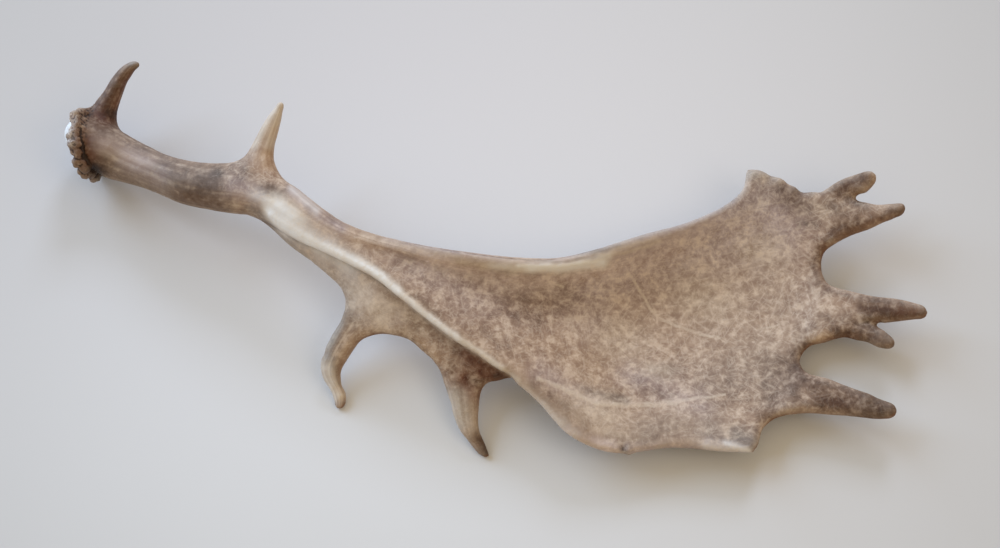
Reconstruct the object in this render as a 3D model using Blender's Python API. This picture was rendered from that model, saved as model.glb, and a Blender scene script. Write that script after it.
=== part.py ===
"""Shed antler of a fallow deer, lying on a table with the hollow of its palm up.

Run with: blender --background --python part.py

Every limb is a loft: sections carried from a root to a tip between a front edge and a rear edge.
The limbs and the pearls of the burr are joined by a voxel remesh, smoothed and thinned to a few thousand
faces. Thin saw cuts at the main forks then part the antler into its named pieces.

The part's frame is in metres: +X runs from the burr to the points of the palm, +Y from the rear edge of the
palm to its front edge, +Z up, with the origin at the middle of the bottom of the bounding box.
"""

import math
import random

import bmesh
import bpy
import numpy as np
from mathutils import Matrix, Vector
from mathutils.bvhtree import BVHTree

MM = 0.001

# Where a point of the antler lies is given in millimetres as (across, up, height), height above the table.
# Across and up are where an eye sees the point: it looks down at SIGHT_ELEVATION from the rear side, from
# EYE_DISTANCE, and both are measured on the plane square to its sight through a mark MARK_HEIGHT up.
SIGHT_ELEVATION = math.radians(65)
EYE_DISTANCE = 1800
MARK_HEIGHT = 25
MARK_SHIFT = (7.27, -10.67, -0.2)
SIGHT = np.array((0, -math.cos(SIGHT_ELEVATION), math.sin(SIGHT_ELEVATION)))

# The burr: a ring at the foot of the beam, a cone that joins it to the beam, small pearls in rows of (place
# along the beam, count, radius), large pearls of (degrees round from the top towards the rear, place along the
# beam, radius), and the rounded seal that sat on the skull. The axis points up the beam.
BURR_CENTRE = (-288, 91.2, 25.8)
BURR_AXIS = (0.95, 0, 0.31)
BURR_RADIUS = 22.9
BURR_WIDTH = 6
FLARE_RADII = (21, 16)
FLARE_LENGTH = 13
SEAL_CENTRE = (-289, 99.5, 28)
SEAL_BULGE = 15
SEAL_RADIUS = 14
PEARL_ROWS = ((-2.1, 25, 3), (2.0, 24, 2.9), (0, 22, 3.1))
PEARL_SPREAD = 0.8
PEARL_STANDING = 0.15
PEARL_SIZES = (0.7, 1.1)
PEARL_TURN = 0.4
LARGE_PEARLS = (
    (-62, -3.2, 3.7),
    (-31, -1, 4.8),
    (-9, 2.5, 3.2),
    (7, -0.5, 3.6),
    (26, -1.5, 4.2),
    (44, 1, 3.6),
    (60, -2, 3.8),
    (74, 2, 4.4),
    (92, -1, 4.2),
    (118, 1, 4.6),
    (150, -1.5, 3.8),
    (186, 0, 3.8),
    (222, 1.5, 4),
    (256, -1, 4.4),
    (280, 1.5, 3.6),
)
SEED = 7

# How finely the limbs are drawn: sections from one station to the next, and points on half a section.
STEPS = 6
HALF_AROUND = 36

# An edge is rounded over its half thickness times EDGE_SOFTNESS, and a free end over END_REACH at most.
EDGE_SOFTNESS = 1.5
END_REACH = 6
LEAST = 0.1

# The skin: voxel size of the union, rounds of smoothing that keep the volume, faces left after thinning.
VOXEL = 1.8
SMOOTH_ROUNDS = 5
SMOOTH_FACTORS = (0.5, -0.53)
TRIANGLES = 8500
MERGE = 0.01

# The saw: width and depth of a cut, and how far inside a piece its marker lies.
KERF = 0.3
SAW_DEPTH = 60
MARKER_STEP = 2

# A station of the beam and palm is (front edge, rear edge, thickness at front edge, middle and rear edge,
# hollow). The hollow is how far the middle of the section lies below the line between its edges.
BEAM_AND_PALM = (
    ((-290.5, 107.5, 25.4), (-285, 73, 25.4), (36.5, 36.5, 36.5), 0),
    ((-278, 105, 28), (-279, 70, 27.5), (35.5, 35.5, 35.5), 0),
    ((-262, 98, 28), (-268, 66.5, 27), (31, 32, 31), 0),
    ((-248, 89.5, 30), (-256, 63, 29), (28, 28, 28), 0),
    ((-233, 82.5, 33), (-242, 58, 32), (26, 27, 26), 0),
    ((-217, 78, 37), (-225, 50.5, 36), (27, 27, 27), 0),
    ((-200, 76.5, 42), (-204, 45.5, 40), (28, 28, 28), 0),
    ((-183, 77, 47), (-188, 43, 44), (28, 28, 28), 0),
    ((-165, 74, 51), (-173, 41, 46), (28, 28, 26), 0),
    ((-149, 65, 54), (-160, 34, 48), (27, 26, 22), 0),
    ((-131, 51, 56), (-143, 24, 50), (24, 22, 16), 1),
    ((-112, 37.5, 57), (-124, 15.5, 52), (21, 17, 12), 2),
    ((-90, 28.8, 57), (-104, 6, 53), (18, 14, 10), 3),
    ((-68, 23.2, 57), (-86, -4, 53), (16, 12, 9), 4),
    ((-45, 17.6, 56), (-68, -18, 52), (15, 10, 8.5), 7),
    ((-20, 13.8, 54), (-48, -34, 49), (14, 9, 8), 10.4),
    ((10, 10.2, 51), (-25, -50.5, 45), (13, 8, 8), 14.5),
    ((40, 10.3, 47), (0, -67, 40), (13, 8, 8), 18.7),
    ((70, 17.9, 43), (25, -88, 34), (12, 8, 7.5), 24),
    ((100, 27.3, 37), (50, -114, 28), (11, 8, 7), 27.9),
    ((130, 35.6, 34), (80, -125, 22), (8.5, 8, 7), 25.6),
    ((155, 46.6, 33), (120, -121.5, 20), (7, 8, 7), 21.8),
    ((169.5, 58.5, 33), (155, -124, 20), (6.5, 8, 7), 17.7),
    ((172.5, 74.5, 34), (177, -125, 20), (6.5, 8, 7), 13.5),
)

# The palm's outer margin from its front corner to its rear corner, through the bottoms of the bays.
CROWN = (
    (172.5, 74.5, 34),
    (190, 69, 33),
    (202, 64, 32),
    (212, 56, 30),
    (221, 30, 23),
    (226.5, 5, 17),
    (220, -28, 13),
    (211, -60, 12),
    (198, -88, 14),
    (186, -106, 17),
    (182, -118, 19),
    (177, -125, 20),
)
CROWN_START = 0.45
LEAN = 0.7

# A station of a tine or a web is (front or left edge, rear or right edge, thickness).
BROW_TINE = (
    ((-293, 98, 26), (-260, 86, 26), 26),
    ((-289, 109, 28), (-265, 100, 28), 24),
    ((-286.5, 115.5, 30), (-268.5, 106.5, 30), 19),
    ((-282, 121.5, 34), (-268, 114, 34), 15),
    ((-276.5, 128.5, 39), (-265, 124, 39), 12.5),
    ((-272, 136, 44), (-262, 133, 44), 11),
    ((-266.8, 142.5, 49), (-258.5, 138.5, 49), 9),
    ((-260.5, 147.3, 53), (-255.8, 142.8, 53), 6.5),
    ((-254.5, 149.3, 56), (-251.8, 146.3, 56), 4.5),
)
TREZ_TINE = (
    ((-198, 62, 46), (-140, 50, 54), 22),
    ((-188, 76, 47), (-148, 63, 54), 21),
    ((-180, 80.5, 49), (-154, 70.5, 54), 19),
    ((-175, 86.5, 52), (-158, 79, 55), 16),
    ((-171, 94, 56), (-158, 88, 57), 13),
    ((-166.7, 102.5, 61), (-156, 97, 61), 10.5),
    ((-161.7, 110.5, 66), (-154, 106, 66), 8),
    ((-157, 117, 71), (-152.3, 114, 71), 5.5),
    ((-154.7, 121, 74), (-150.7, 119, 74), 4),
)
FRONT_SPELLER = (
    ((200, 52, 28.5), (212, 6, 15), 5),
    ((212, 57.5, 30), (225, 6, 17), 7.5),
    ((225, 57, 30), (227, 13.5, 20), 9),
    ((238, 56, 30), (235, 21, 24), 10),
    ((250, 52, 31), (247, 27.5, 27), 10),
    ((262, 48.5, 32), (260, 32.5, 30), 9.5),
    ((273, 48.8, 33), (272, 37.8, 32), 8.5),
    ((284, 49.5, 34), (284, 42, 34), 7),
)
FRONT_SPELLER_POINT = (
    ((216, 52, 28), (232, 36, 27), 7),
    ((229, 60, 31), (242, 48, 29), 9),
    ((240, 66.5, 34), (250, 54.5, 32), 10),
    ((250, 70, 37), (256, 57, 36), 9.5),
    ((260.5, 73.5, 40.5), (265.5, 66, 39.5), 8),
)
MIDDLE_SPELLER = (
    ((208, 3, 13.5), (194, -52, 7.5), 5),
    ((225, 4, 17), (209.5, -58, 11), 7.5),
    ((229, -5, 17), (216, -51.5, 14), 9),
    ((239, -10.5, 18), (232, -46.5, 16), 10),
    ((251, -13.5, 20), (248, -40, 18), 11),
    ((262, -16, 21), (261, -34.5, 20), 11),
    ((273, -17.3, 22), (272, -33.8, 22), 10.5),
    ((284, -19, 24), (284, -32.5, 24), 9.5),
    ((299.2, -23, 26), (299.6, -31, 26), 8),
)
MIDDLE_SPELLER_POINT = (
    ((240, -24, 17), (230, -44, 15), 8),
    ((253, -31, 18), (247, -46, 17), 9.5),
    ((263, -35.5, 19), (257, -47.5, 18), 9.5),
    ((270, -41, 20), (265, -51, 20), 8.5),
    ((277.5, -47.5, 21), (274.5, -52.5, 21), 6.5),
)
REAR_SPELLER = (
    ((190, -58, 7.5), (165, -104, 13), 5),
    ((209, -61, 11.5), (180, -111, 16), 7),
    ((214, -67.5, 14), (192.5, -101.5, 17), 9),
    ((223, -71, 16), (210, -97.5, 17), 10),
    ((238, -77, 18), (232, -98.5, 18), 10.5),
    ((254, -83, 20), (251, -100, 20), 10),
    ((267, -88.5, 21), (265, -101.2, 21), 9),
    ((277.8, -92.3, 22), (277.3, -100.3, 22), 8),
)
REAR_WEB = (
    ((-178, 58, 44), (-182, 43.5, 42), 18),
    ((-158, 46, 44), (-166, 36.5, 40), 15),
    ((-136, 34, 47), (-147, 20, 37), 12),
    ((-112, 24, 49), (-128, 6, 34), 10.5),
    ((-92, 14, 50), (-113, -10, 32), 9.5),
    ((-72, 2, 49), (-101, -34, 28), 9),
    ((-54, -8, 46), (-84, -42.5, 26), 8.5),
    ((-36, -20, 43), (-66, -46.5, 25), 8.5),
    ((-18, -31, 38), (-50, -59, 24), 8.5),
    ((-2, -42, 35), (-27, -73, 21), 8.5),
    ((14, -52, 31), (-6, -75.5, 19), 8),
    ((32, -56, 26), (12, -73, 19), 7),
)
LOWER_REAR_TINE = (
    ((-104, -2, 38.5), (-66, -30, 34), 5),
    ((-109.5, -18, 31.5), (-82, -42.3, 27), 7),
    ((-112.5, -33, 27), (-95.5, -46.2, 24), 10),
    ((-118, -44, 23), (-102, -52.2, 21), 10.5),
    ((-122.5, -53.5, 18), (-107, -60, 17), 10.5),
    ((-125.5, -64, 13), (-111, -67.5, 13), 9.5),
    ((-123.5, -73, 9.5), (-111.2, -74, 9.5), 8),
    ((-118.5, -81.5, 6.5), (-109, -80.5, 6.5), 7),
    ((-116, -88, 3.6), (-107.6, -87, 3.6), 6),
    ((-115.5, -94.5, 2), (-109, -94.5, 2), 5.5),
)
UPPER_REAR_TINE = (
    ((-58, -34, 33), (14, -58, 27.5), 5),
    ((-60, -50.2, 25.5), (6, -73.3, 20), 7),
    ((-51, -58, 24), (-4, -74.5, 20), 8.5),
    ((-44, -67, 21), (-10, -79, 17), 10),
    ((-38.5, -79, 18), (-13.5, -86, 15), 11),
    ((-34.5, -90, 15), (-15, -95, 13), 11),
    ((-32, -100, 12), (-15.2, -104, 11), 10.5),
    ((-28, -109, 9), (-13.8, -112, 9), 9),
    ((-21.5, -117.5, 5), (-11, -118.5, 5), 7.5),
    ((-14, -127, 1.6), (-7, -129, 1.6), 5.5),
)

# Saw cuts at the forks: name of the piece beyond the cut, where its plane passes, the way it faces, and how
# far it reaches from there. Place and way are as seen, and the way lies square to the line of sight.
CUTS = (
    ("brow_tine", (-275.5, 115.5, 33), (0.35, 0.94), 13),
    ("trez_tine", (-166, 81, 54), (0.35, 0.94), 19),
    ("palm", (-150, 40, 50), (0.85, -0.53), 34),
    ("front_speller", (228, 36, 26), (0.98, 0.17), 27),
    ("middle_speller", (228, -28, 16), (0.99, -0.12), 25),
    ("rear_speller", (207, -84, 16), (0.93, -0.36), 22),
    ("lower_rear_tine", (-104, -38, 26), (-0.66, -0.75), 16),
    ("upper_rear_tine", (-26, -76, 18), (-0.39, -0.92), 22),
)
BEAM_MARKER = (-230, 66, 33)

LIMBS = (
    BROW_TINE,
    TREZ_TINE,
    FRONT_SPELLER,
    FRONT_SPELLER_POINT,
    MIDDLE_SPELLER,
    MIDDLE_SPELLER_POINT,
    REAR_SPELLER,
    REAR_WEB,
    LOWER_REAR_TINE,
    UPPER_REAR_TINE,
)

POINT_COLOUR = (0.20, 0.13, 0.085)
COLOURS = {
    "beam": (0.30, 0.22, 0.16),
    "palm": (0.42, 0.31, 0.22),
    "trez_tine": (0.45, 0.33, 0.21),
}


def place(seen):
    """Points in the part's frame: the line from the eye through (across, up) comes down to the height."""
    seen = np.asarray(seen, float)
    across, up, height = seen[..., 0], seen[..., 1], seen[..., 2]
    mark = np.array((0, 0, MARK_HEIGHT))
    eye = mark + EYE_DISTANCE * SIGHT
    aim = mark + np.stack((across, up * SIGHT[2], -up * SIGHT[1]), -1)
    share = (height - eye[2]) / (aim[..., 2] - eye[2])
    return (eye + share[..., None] * (aim - eye) + MARK_SHIFT) * MM


def smooth(rows, steps):
    """The given rows of numbers with steps rows to each gap, on a cubic curve that passes through them."""
    rows = np.asarray(rows, float)
    slopes = np.gradient(rows, axis=0)
    t = np.linspace(0, 1, steps, endpoint=False)[None, :, None]
    start, end = rows[:-1, None], rows[1:, None]
    leaving, arriving = slopes[:-1, None], slopes[1:, None]
    curve = (
        (2 * t**3 - 3 * t**2 + 1) * start
        + (t**3 - 2 * t**2 + t) * leaving
        + (3 * t**2 - 2 * t**3) * end
        + (t**3 - t**2) * arriving
    )
    return np.concatenate((curve.reshape(-1, rows.shape[1]), rows[-1:]))


def along(points, shares):
    """Points at the given shares of the length of a path."""
    lengths = np.linalg.norm(np.diff(points, axis=0), axis=1)
    travelled = np.concatenate(([0], np.cumsum(lengths))) / lengths.sum()
    return np.stack([np.interp(shares, travelled, column) for column in points.T], -1)


def loft(stations, crown=None):
    """Vertices and faces of a limb.

    A section runs from its front edge (s = 1) to its rear edge (s = -1). Its middle surface is the straight
    line between them, sunk along the line of sight by hollow * (1 - s * s) ** 1.5 * (1 + LEAN * s). With a
    crown the last sections bend forward by degrees until the last one lies on the crown. Half the thickness
    is laid off on each side along the surface's normal, and falls to nothing on a round at both edges and
    the free end.
    """
    rows = smooth(stations, STEPS)
    front, rear = place(rows[:, 0:3]), place(rows[:, 3:6])
    thickness, hollow = rows[:, 6:9] * MM, rows[:, 9] * MM
    turn = np.linspace(0, math.pi, HALF_AROUND + 1)
    s = np.cos(turn)
    middle, half_chord = (front + rear) / 2, (front - rear) / 2
    sag = (1 - s * s) ** 1.5 * (1 + LEAN * s)
    sunk = hollow[:, None, None] * sag[None, :, None] * SIGHT
    surface = middle[:, None] + s[None, :, None] * half_chord[:, None] - sunk
    if crown is not None:
        rim = along(place(smooth(crown, STEPS)), (1 - s) / 2)
        bend = np.clip((np.linspace(0, 1, len(rows)) - CROWN_START) / (1 - CROWN_START), 0, 1) ** 2
        surface = surface + bend[:, None, None] * (rim - surface[-1])
    normal = np.cross(np.gradient(surface, axis=0), np.gradient(surface, axis=1))
    normal /= np.linalg.norm(normal, axis=-1, keepdims=True)
    normal *= np.where((normal @ SIGHT).sum(axis=1) < 0, -1, 1)[:, None, None]
    depth = (
        thickness[:, 0, None] * s * (s + 1) / 2
        + thickness[:, 1, None] * (1 - s * s)
        + thickness[:, 2, None] * s * (s - 1) / 2
    ) / 2
    reach = np.linalg.norm(half_chord, axis=1)[:, None]
    edge = np.minimum(reach, depth * EDGE_SOFTNESS)
    depth_here = depth * rounded(reach * (1 - np.abs(s)), edge)
    strides = np.linalg.norm(np.diff(surface[:, HALF_AROUND // 2], axis=0), axis=1)
    to_end = np.concatenate((np.cumsum(strides[::-1])[::-1], [0]))[:, None]
    if crown is None:
        end = rounded(to_end, np.minimum(reach, END_REACH * MM))
        surface = middle[:, None] + (surface - middle[:, None]) * np.maximum(end, LEAST)[:, :, None]
        depth_here = depth_here * np.maximum(end, LEAST)
    else:
        depth_here = depth_here * np.maximum(rounded(to_end, depth * EDGE_SOFTNESS), LEAST)
    upper = surface + normal * depth_here[..., None]
    lower = surface - normal * depth_here[..., None]
    return tube(np.concatenate((upper, lower[:, -2:0:-1]), axis=1))


def rounded(distance, radius):
    """Height of a quarter circle at a distance in from where it starts, as a share of its radius."""
    inside = np.clip(distance / radius, 0, 1)
    return np.sqrt(1 - (1 - inside) ** 2)


def tube(rings):
    """Vertices and faces of rings of points, each joined to the next, with a face over both ends."""
    count, around = rings.shape[:2]
    index = np.arange(count * around).reshape(count, around)
    beside = np.roll(index, -1, axis=1)
    sides = np.stack((index[:-1], beside[:-1], beside[1:], index[1:]), -1).reshape(-1, 4)
    return rings.reshape(-1, 3), sides.tolist() + [index[0, ::-1].tolist(), index[-1].tolist()]


def straight_row(stations):
    """Stations of a tine or web in the form that loft reads: one thickness throughout and no hollow."""
    return [(*front, *rear, thickness, thickness, thickness, 0) for front, rear, thickness in stations]


def broad_row(stations):
    """Stations of the beam and palm in the form that loft reads."""
    return [(*front, *rear, *thickness, hollow) for front, rear, thickness, hollow in stations]


def burr():
    """A ring of pearls around the foot of the beam, and the rounded seal that sat on the skull."""
    chance = random.Random(SEED)
    centre = Vector(place(BURR_CENTRE))
    axis = Vector(BURR_AXIS).normalized()
    turn = axis.to_track_quat("Z", "Y").to_matrix().to_4x4()
    frame = Matrix.Translation(centre) @ turn
    mesh = bmesh.new()
    bmesh.ops.create_cone(
        mesh,
        cap_ends=True,
        segments=48,
        radius1=BURR_RADIUS * MM,
        radius2=BURR_RADIUS * MM,
        depth=BURR_WIDTH * MM,
        matrix=frame,
    )
    bmesh.ops.create_cone(
        mesh,
        cap_ends=True,
        segments=48,
        radius1=FLARE_RADII[0] * MM,
        radius2=FLARE_RADII[1] * MM,
        depth=FLARE_LENGTH * MM,
        matrix=frame @ Matrix.Translation((0, 0, FLARE_LENGTH / 2 * MM)),
    )
    flat = Matrix.Diagonal((1, 1, SEAL_BULGE / SEAL_RADIUS, 1))
    seal = Matrix.Translation(place(SEAL_CENTRE)) @ turn @ flat
    bmesh.ops.create_uvsphere(mesh, u_segments=32, v_segments=16, radius=SEAL_RADIUS * MM, matrix=seal)
    pearls = [(math.radians(degrees), 0, shift, radius) for degrees, shift, radius in LARGE_PEARLS]
    for row_shift, count, row_radius in PEARL_ROWS:
        for number in range(count):
            angle = math.tau * (number + chance.uniform(-PEARL_TURN, PEARL_TURN)) / count
            lift = chance.uniform(-PEARL_SPREAD, PEARL_SPREAD)
            shift = row_shift + chance.uniform(-PEARL_SPREAD, PEARL_SPREAD)
            pearls.append((angle, lift, shift, row_radius * chance.uniform(*PEARL_SIZES)))
    top = axis.cross(Vector((0, 1, 0))).normalized()
    rearward = axis.cross(top)
    for angle, lift, shift, radius in pearls:
        outward = top * math.cos(angle) + rearward * math.sin(angle)
        spot = centre + (outward * (BURR_RADIUS + PEARL_STANDING * radius + lift) + axis * shift) * MM
        matrix = Matrix.Translation(spot)
        bmesh.ops.create_icosphere(mesh, subdivisions=2, radius=radius * MM, matrix=matrix)
    vertices = np.array([vertex.co for vertex in mesh.verts])
    faces = [[vertex.index for vertex in face.verts] for face in mesh.faces]
    mesh.free()
    return vertices, faces


def add_object(name, vertices, faces):
    """An object in the scene with a mesh of these vertices and faces."""
    mesh = bpy.data.meshes.new(name)
    mesh.from_pydata(np.asarray(vertices).tolist(), [], faces)
    obj = bpy.data.objects.new(name, mesh)
    bpy.context.collection.objects.link(obj)
    return obj


def joined(parts):
    """Vertices and faces of several bodies as one list of each."""
    vertices, faces, start = [], [], 0
    for body_vertices, body_faces in parts:
        vertices.append(body_vertices)
        faces += [[start + corner for corner in face] for face in body_faces]
        start += len(body_vertices)
    return np.concatenate(vertices), faces


def finished_mesh(obj):
    """A new mesh with the object's modifiers applied, and the object taken away."""
    graph = bpy.context.evaluated_depsgraph_get()
    mesh = bpy.data.meshes.new_from_object(obj.evaluated_get(graph))
    bpy.data.objects.remove(obj)
    return mesh


def whole_antler():
    """All limbs and the burr as one closed skin with few faces."""
    limbs = [loft(broad_row(BEAM_AND_PALM), CROWN)]
    limbs += [loft(straight_row(stations)) for stations in LIMBS]
    obj = add_object("whole", *joined(limbs + [burr()]))
    remesh = obj.modifiers.new("Union", "REMESH")
    remesh.mode = "VOXEL"
    remesh.voxel_size = VOXEL * MM
    for factor in SMOOTH_FACTORS * SMOOTH_ROUNDS:
        smoothing = obj.modifiers.new("Smooth", "SMOOTH")
        smoothing.factor = factor
        smoothing.iterations = 1
    obj = add_skin(finished_mesh(obj))
    thinning = obj.modifiers.new("Thin", "DECIMATE")
    thinning.use_collapse_triangulate = True
    thinning.ratio = TRIANGLES / (2 * len(obj.data.polygons))
    return add_skin(finished_mesh(obj))


def add_skin(mesh):
    """An object in the scene with this mesh."""
    obj = bpy.data.objects.new("skin", mesh)
    bpy.context.collection.objects.link(obj)
    return obj


def sight_way(way):
    """Unit vector in the part's frame of a direction that lies square to the line of sight."""
    across, up = way
    return Vector((across, up * SIGHT[2], -up * SIGHT[1])).normalized()


def saw():
    """One object with a thin slab for every cut."""
    mesh = bmesh.new()
    sight = Vector(SIGHT)
    for _, spot, way, reach in CUTS:
        facing = sight_way(way)
        turn = Matrix((facing, sight.cross(facing), sight)).transposed().to_4x4()
        size = Matrix.Diagonal((KERF * MM, 2 * reach * MM, SAW_DEPTH * MM, 1))
        bmesh.ops.create_cube(mesh, size=1, matrix=Matrix.Translation(place(spot)) @ turn @ size)
    data = bpy.data.meshes.new("saw")
    mesh.to_mesh(data)
    mesh.free()
    obj = bpy.data.objects.new("saw", data)
    bpy.context.collection.objects.link(obj)
    obj.hide_render = True
    obj.display_type = "WIRE"
    return obj


def markers():
    """A point just inside each piece, by the piece's name."""
    points = {"beam": Vector(place(BEAM_MARKER))}
    for name, spot, way, _ in CUTS:
        points[name] = Vector(place(spot)) + sight_way(way) * MARKER_STEP * MM
    return points


def separate(mesh):
    """Loose bodies of a mesh as lists of vertices and faces."""
    source = bmesh.new()
    source.from_mesh(mesh)
    bmesh.ops.remove_doubles(source, verts=source.verts, dist=MERGE * MM)
    bmesh.ops.triangulate(source, faces=source.faces)
    bmesh.ops.recalc_face_normals(source, faces=source.faces)
    waiting = set(source.faces)
    bodies = []
    while waiting:
        first = min(waiting, key=lambda face: face.index)
        waiting.discard(first)
        body, edge_of_search = [first], [first]
        while edge_of_search:
            face = edge_of_search.pop()
            for edge in face.edges:
                for other in edge.link_faces:
                    if other in waiting:
                        waiting.discard(other)
                        body.append(other)
                        edge_of_search.append(other)
        corners = sorted({vertex.index for face in body for vertex in face.verts})
        number = {old: new for new, old in enumerate(corners)}
        source.verts.ensure_lookup_table()
        vertices = [tuple(source.verts[index].co) for index in corners]
        faces = [[number[vertex.index] for vertex in face.verts] for face in body]
        bodies.append((vertices, faces))
    source.free()
    return bodies


def material(name, colour):
    """Plain antler in one colour."""
    result = bpy.data.materials.new(name)
    result.use_nodes = True
    shader = result.node_tree.nodes["Principled BSDF"]
    shader.inputs["Base Color"].default_value = (*colour, 1)
    shader.inputs["Roughness"].default_value = 0.6
    shader.inputs["Metallic"].default_value = 0
    return result


def build():
    """The antler's named pieces."""
    for obj in list(bpy.data.objects):
        bpy.data.objects.remove(obj)
    whole = whole_antler()
    cutter = saw()
    cutting = whole.modifiers.new("Saw", "BOOLEAN")
    cutting.operation = "DIFFERENCE"
    cutting.solver = "EXACT"
    cutting.object = cutter
    mesh = finished_mesh(whole)
    bpy.data.objects.remove(cutter)
    bodies = separate(mesh)
    trees = [BVHTree.FromPolygons(vertices, faces) for vertices, faces in bodies]
    for name, point in markers().items():
        nearest = min(range(len(bodies)), key=lambda number: trees[number].find_nearest(point)[3])
        piece = add_object(name, *bodies[nearest])
        piece.data.materials.append(material(f"{name}_antler", COLOURS.get(name, POINT_COLOUR)))
        piece.data.shade_smooth()


build()
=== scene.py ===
"""Looks of the shed fallow deer antler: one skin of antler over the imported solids, on a pale table."""

import math

import bpy
import numpy as np
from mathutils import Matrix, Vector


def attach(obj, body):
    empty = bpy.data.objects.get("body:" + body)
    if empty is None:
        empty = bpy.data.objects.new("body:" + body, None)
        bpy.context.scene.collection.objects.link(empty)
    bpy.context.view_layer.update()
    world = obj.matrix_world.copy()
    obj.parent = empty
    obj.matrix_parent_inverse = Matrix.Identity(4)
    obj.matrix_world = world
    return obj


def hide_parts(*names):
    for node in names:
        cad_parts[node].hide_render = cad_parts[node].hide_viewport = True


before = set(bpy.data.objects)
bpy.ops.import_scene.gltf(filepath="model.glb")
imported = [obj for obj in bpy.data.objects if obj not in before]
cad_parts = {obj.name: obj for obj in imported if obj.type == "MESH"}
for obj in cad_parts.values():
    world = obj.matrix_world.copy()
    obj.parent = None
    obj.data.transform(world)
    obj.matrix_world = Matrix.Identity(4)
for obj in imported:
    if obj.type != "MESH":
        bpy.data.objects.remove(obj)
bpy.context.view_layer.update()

MM = 0.001

# Where a point of the antler lies is given in millimetres as (across, up, height), height above the table.
# Across and up are where the camera sees it: it looks down at SIGHT_ELEVATION from the rear side, from
# EYE_DISTANCE, and both are measured on the plane square to its sight through a mark MARK_HEIGHT up, where
# the picture is SEEN_WIDTH wide. MARK_SHIFT moves such points into the part's frame.
SIGHT_ELEVATION = math.radians(65)
EYE_DISTANCE = 1800
MARK_HEIGHT = 25
MARK_SHIFT = (7.27, -10.67, -0.2)
SIGHT = np.array((0, -math.cos(SIGHT_ELEVATION), math.sin(SIGHT_ELEVATION)))
SEEN_WIDTH = 700
SENSOR = 36

# The burr: a ring at the foot of the beam, a cone that joins it to the beam, small pearls in rows of (place
# along the beam, count, radius), large pearls of (degrees round from the top towards the rear, place along
# the beam, radius), and the rounded seal that sat on the skull. The axis points up the beam. Small pearls
# are shifted by up to PEARL_SPREAD, turned by up to PEARL_TURN of their spacing and sized within
# PEARL_SIZES, all by chance. Each pearl's centre stands out by PEARL_STANDING of its radius.
BURR_CENTRE = (-288, 91.2, 25.8)
BURR_AXIS = (0.95, 0, 0.31)
BURR_RADIUS = 22.9
BURR_WIDTH = 6
FLARE_RADII = (21, 16)
FLARE_LENGTH = 13
SEAL_CENTRE = (-289, 98, 28)
SEAL_BULGE = 16.5
SEAL_RADIUS = 14
PEARL_ROWS = ((-2.1, 25, 3), (2.0, 24, 2.9), (0, 22, 3.1))
PEARL_SPREAD = 0.8
PEARL_STANDING = 0.15
PEARL_SIZES = (0.7, 1.1)
PEARL_TURN = 0.4
LARGE_PEARLS = (
    (-62, -3.2, 3.7),
    (-31, -1, 4.8),
    (-9, 2.5, 3.2),
    (7, -0.5, 3.6),
    (26, -1.5, 4.2),
    (44, 1, 3.6),
    (60, -2, 3.8),
    (74, 2, 4.4),
    (92, -1, 4.2),
    (118, 1, 4.6),
    (150, -1.5, 3.8),
    (186, 0, 3.8),
    (222, 1.5, 4),
    (256, -1, 4.4),
    (280, 1.5, 3.6),
)
SEED = 7
# Sides of the ring, cone and seal, steps of the seal's round, steps and sides of a pearl, the angle left
# open at a pole in radians, and the radius at which the ring and cone are closed.
BURR_SIDES = 64
SEAL_STEPS = 12
PEARL_STEPS = 9
PEARL_SIDES = 16
POLE_GAP = 0.02
CORE_RADIUS = 0.1

# How finely the limbs are drawn: sections from one station to the next, and points on half a section.
STEPS = 10
HALF_AROUND = 60

# An edge is rounded over its half thickness times EDGE_SOFTNESS, and a free end over END_REACH at most, down
# to the share LEAST.
EDGE_SOFTNESS = 1.5
END_REACH = 6
LEAST = 0.1

# The skin: voxel size of the union and rounds of smoothing that keep the volume.
VOXEL = 0.9
SMOOTH_ROUNDS = 12
SMOOTH_FACTORS = (0.5, -0.53)
TRIANGLE_LIMIT = 190000

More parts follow.
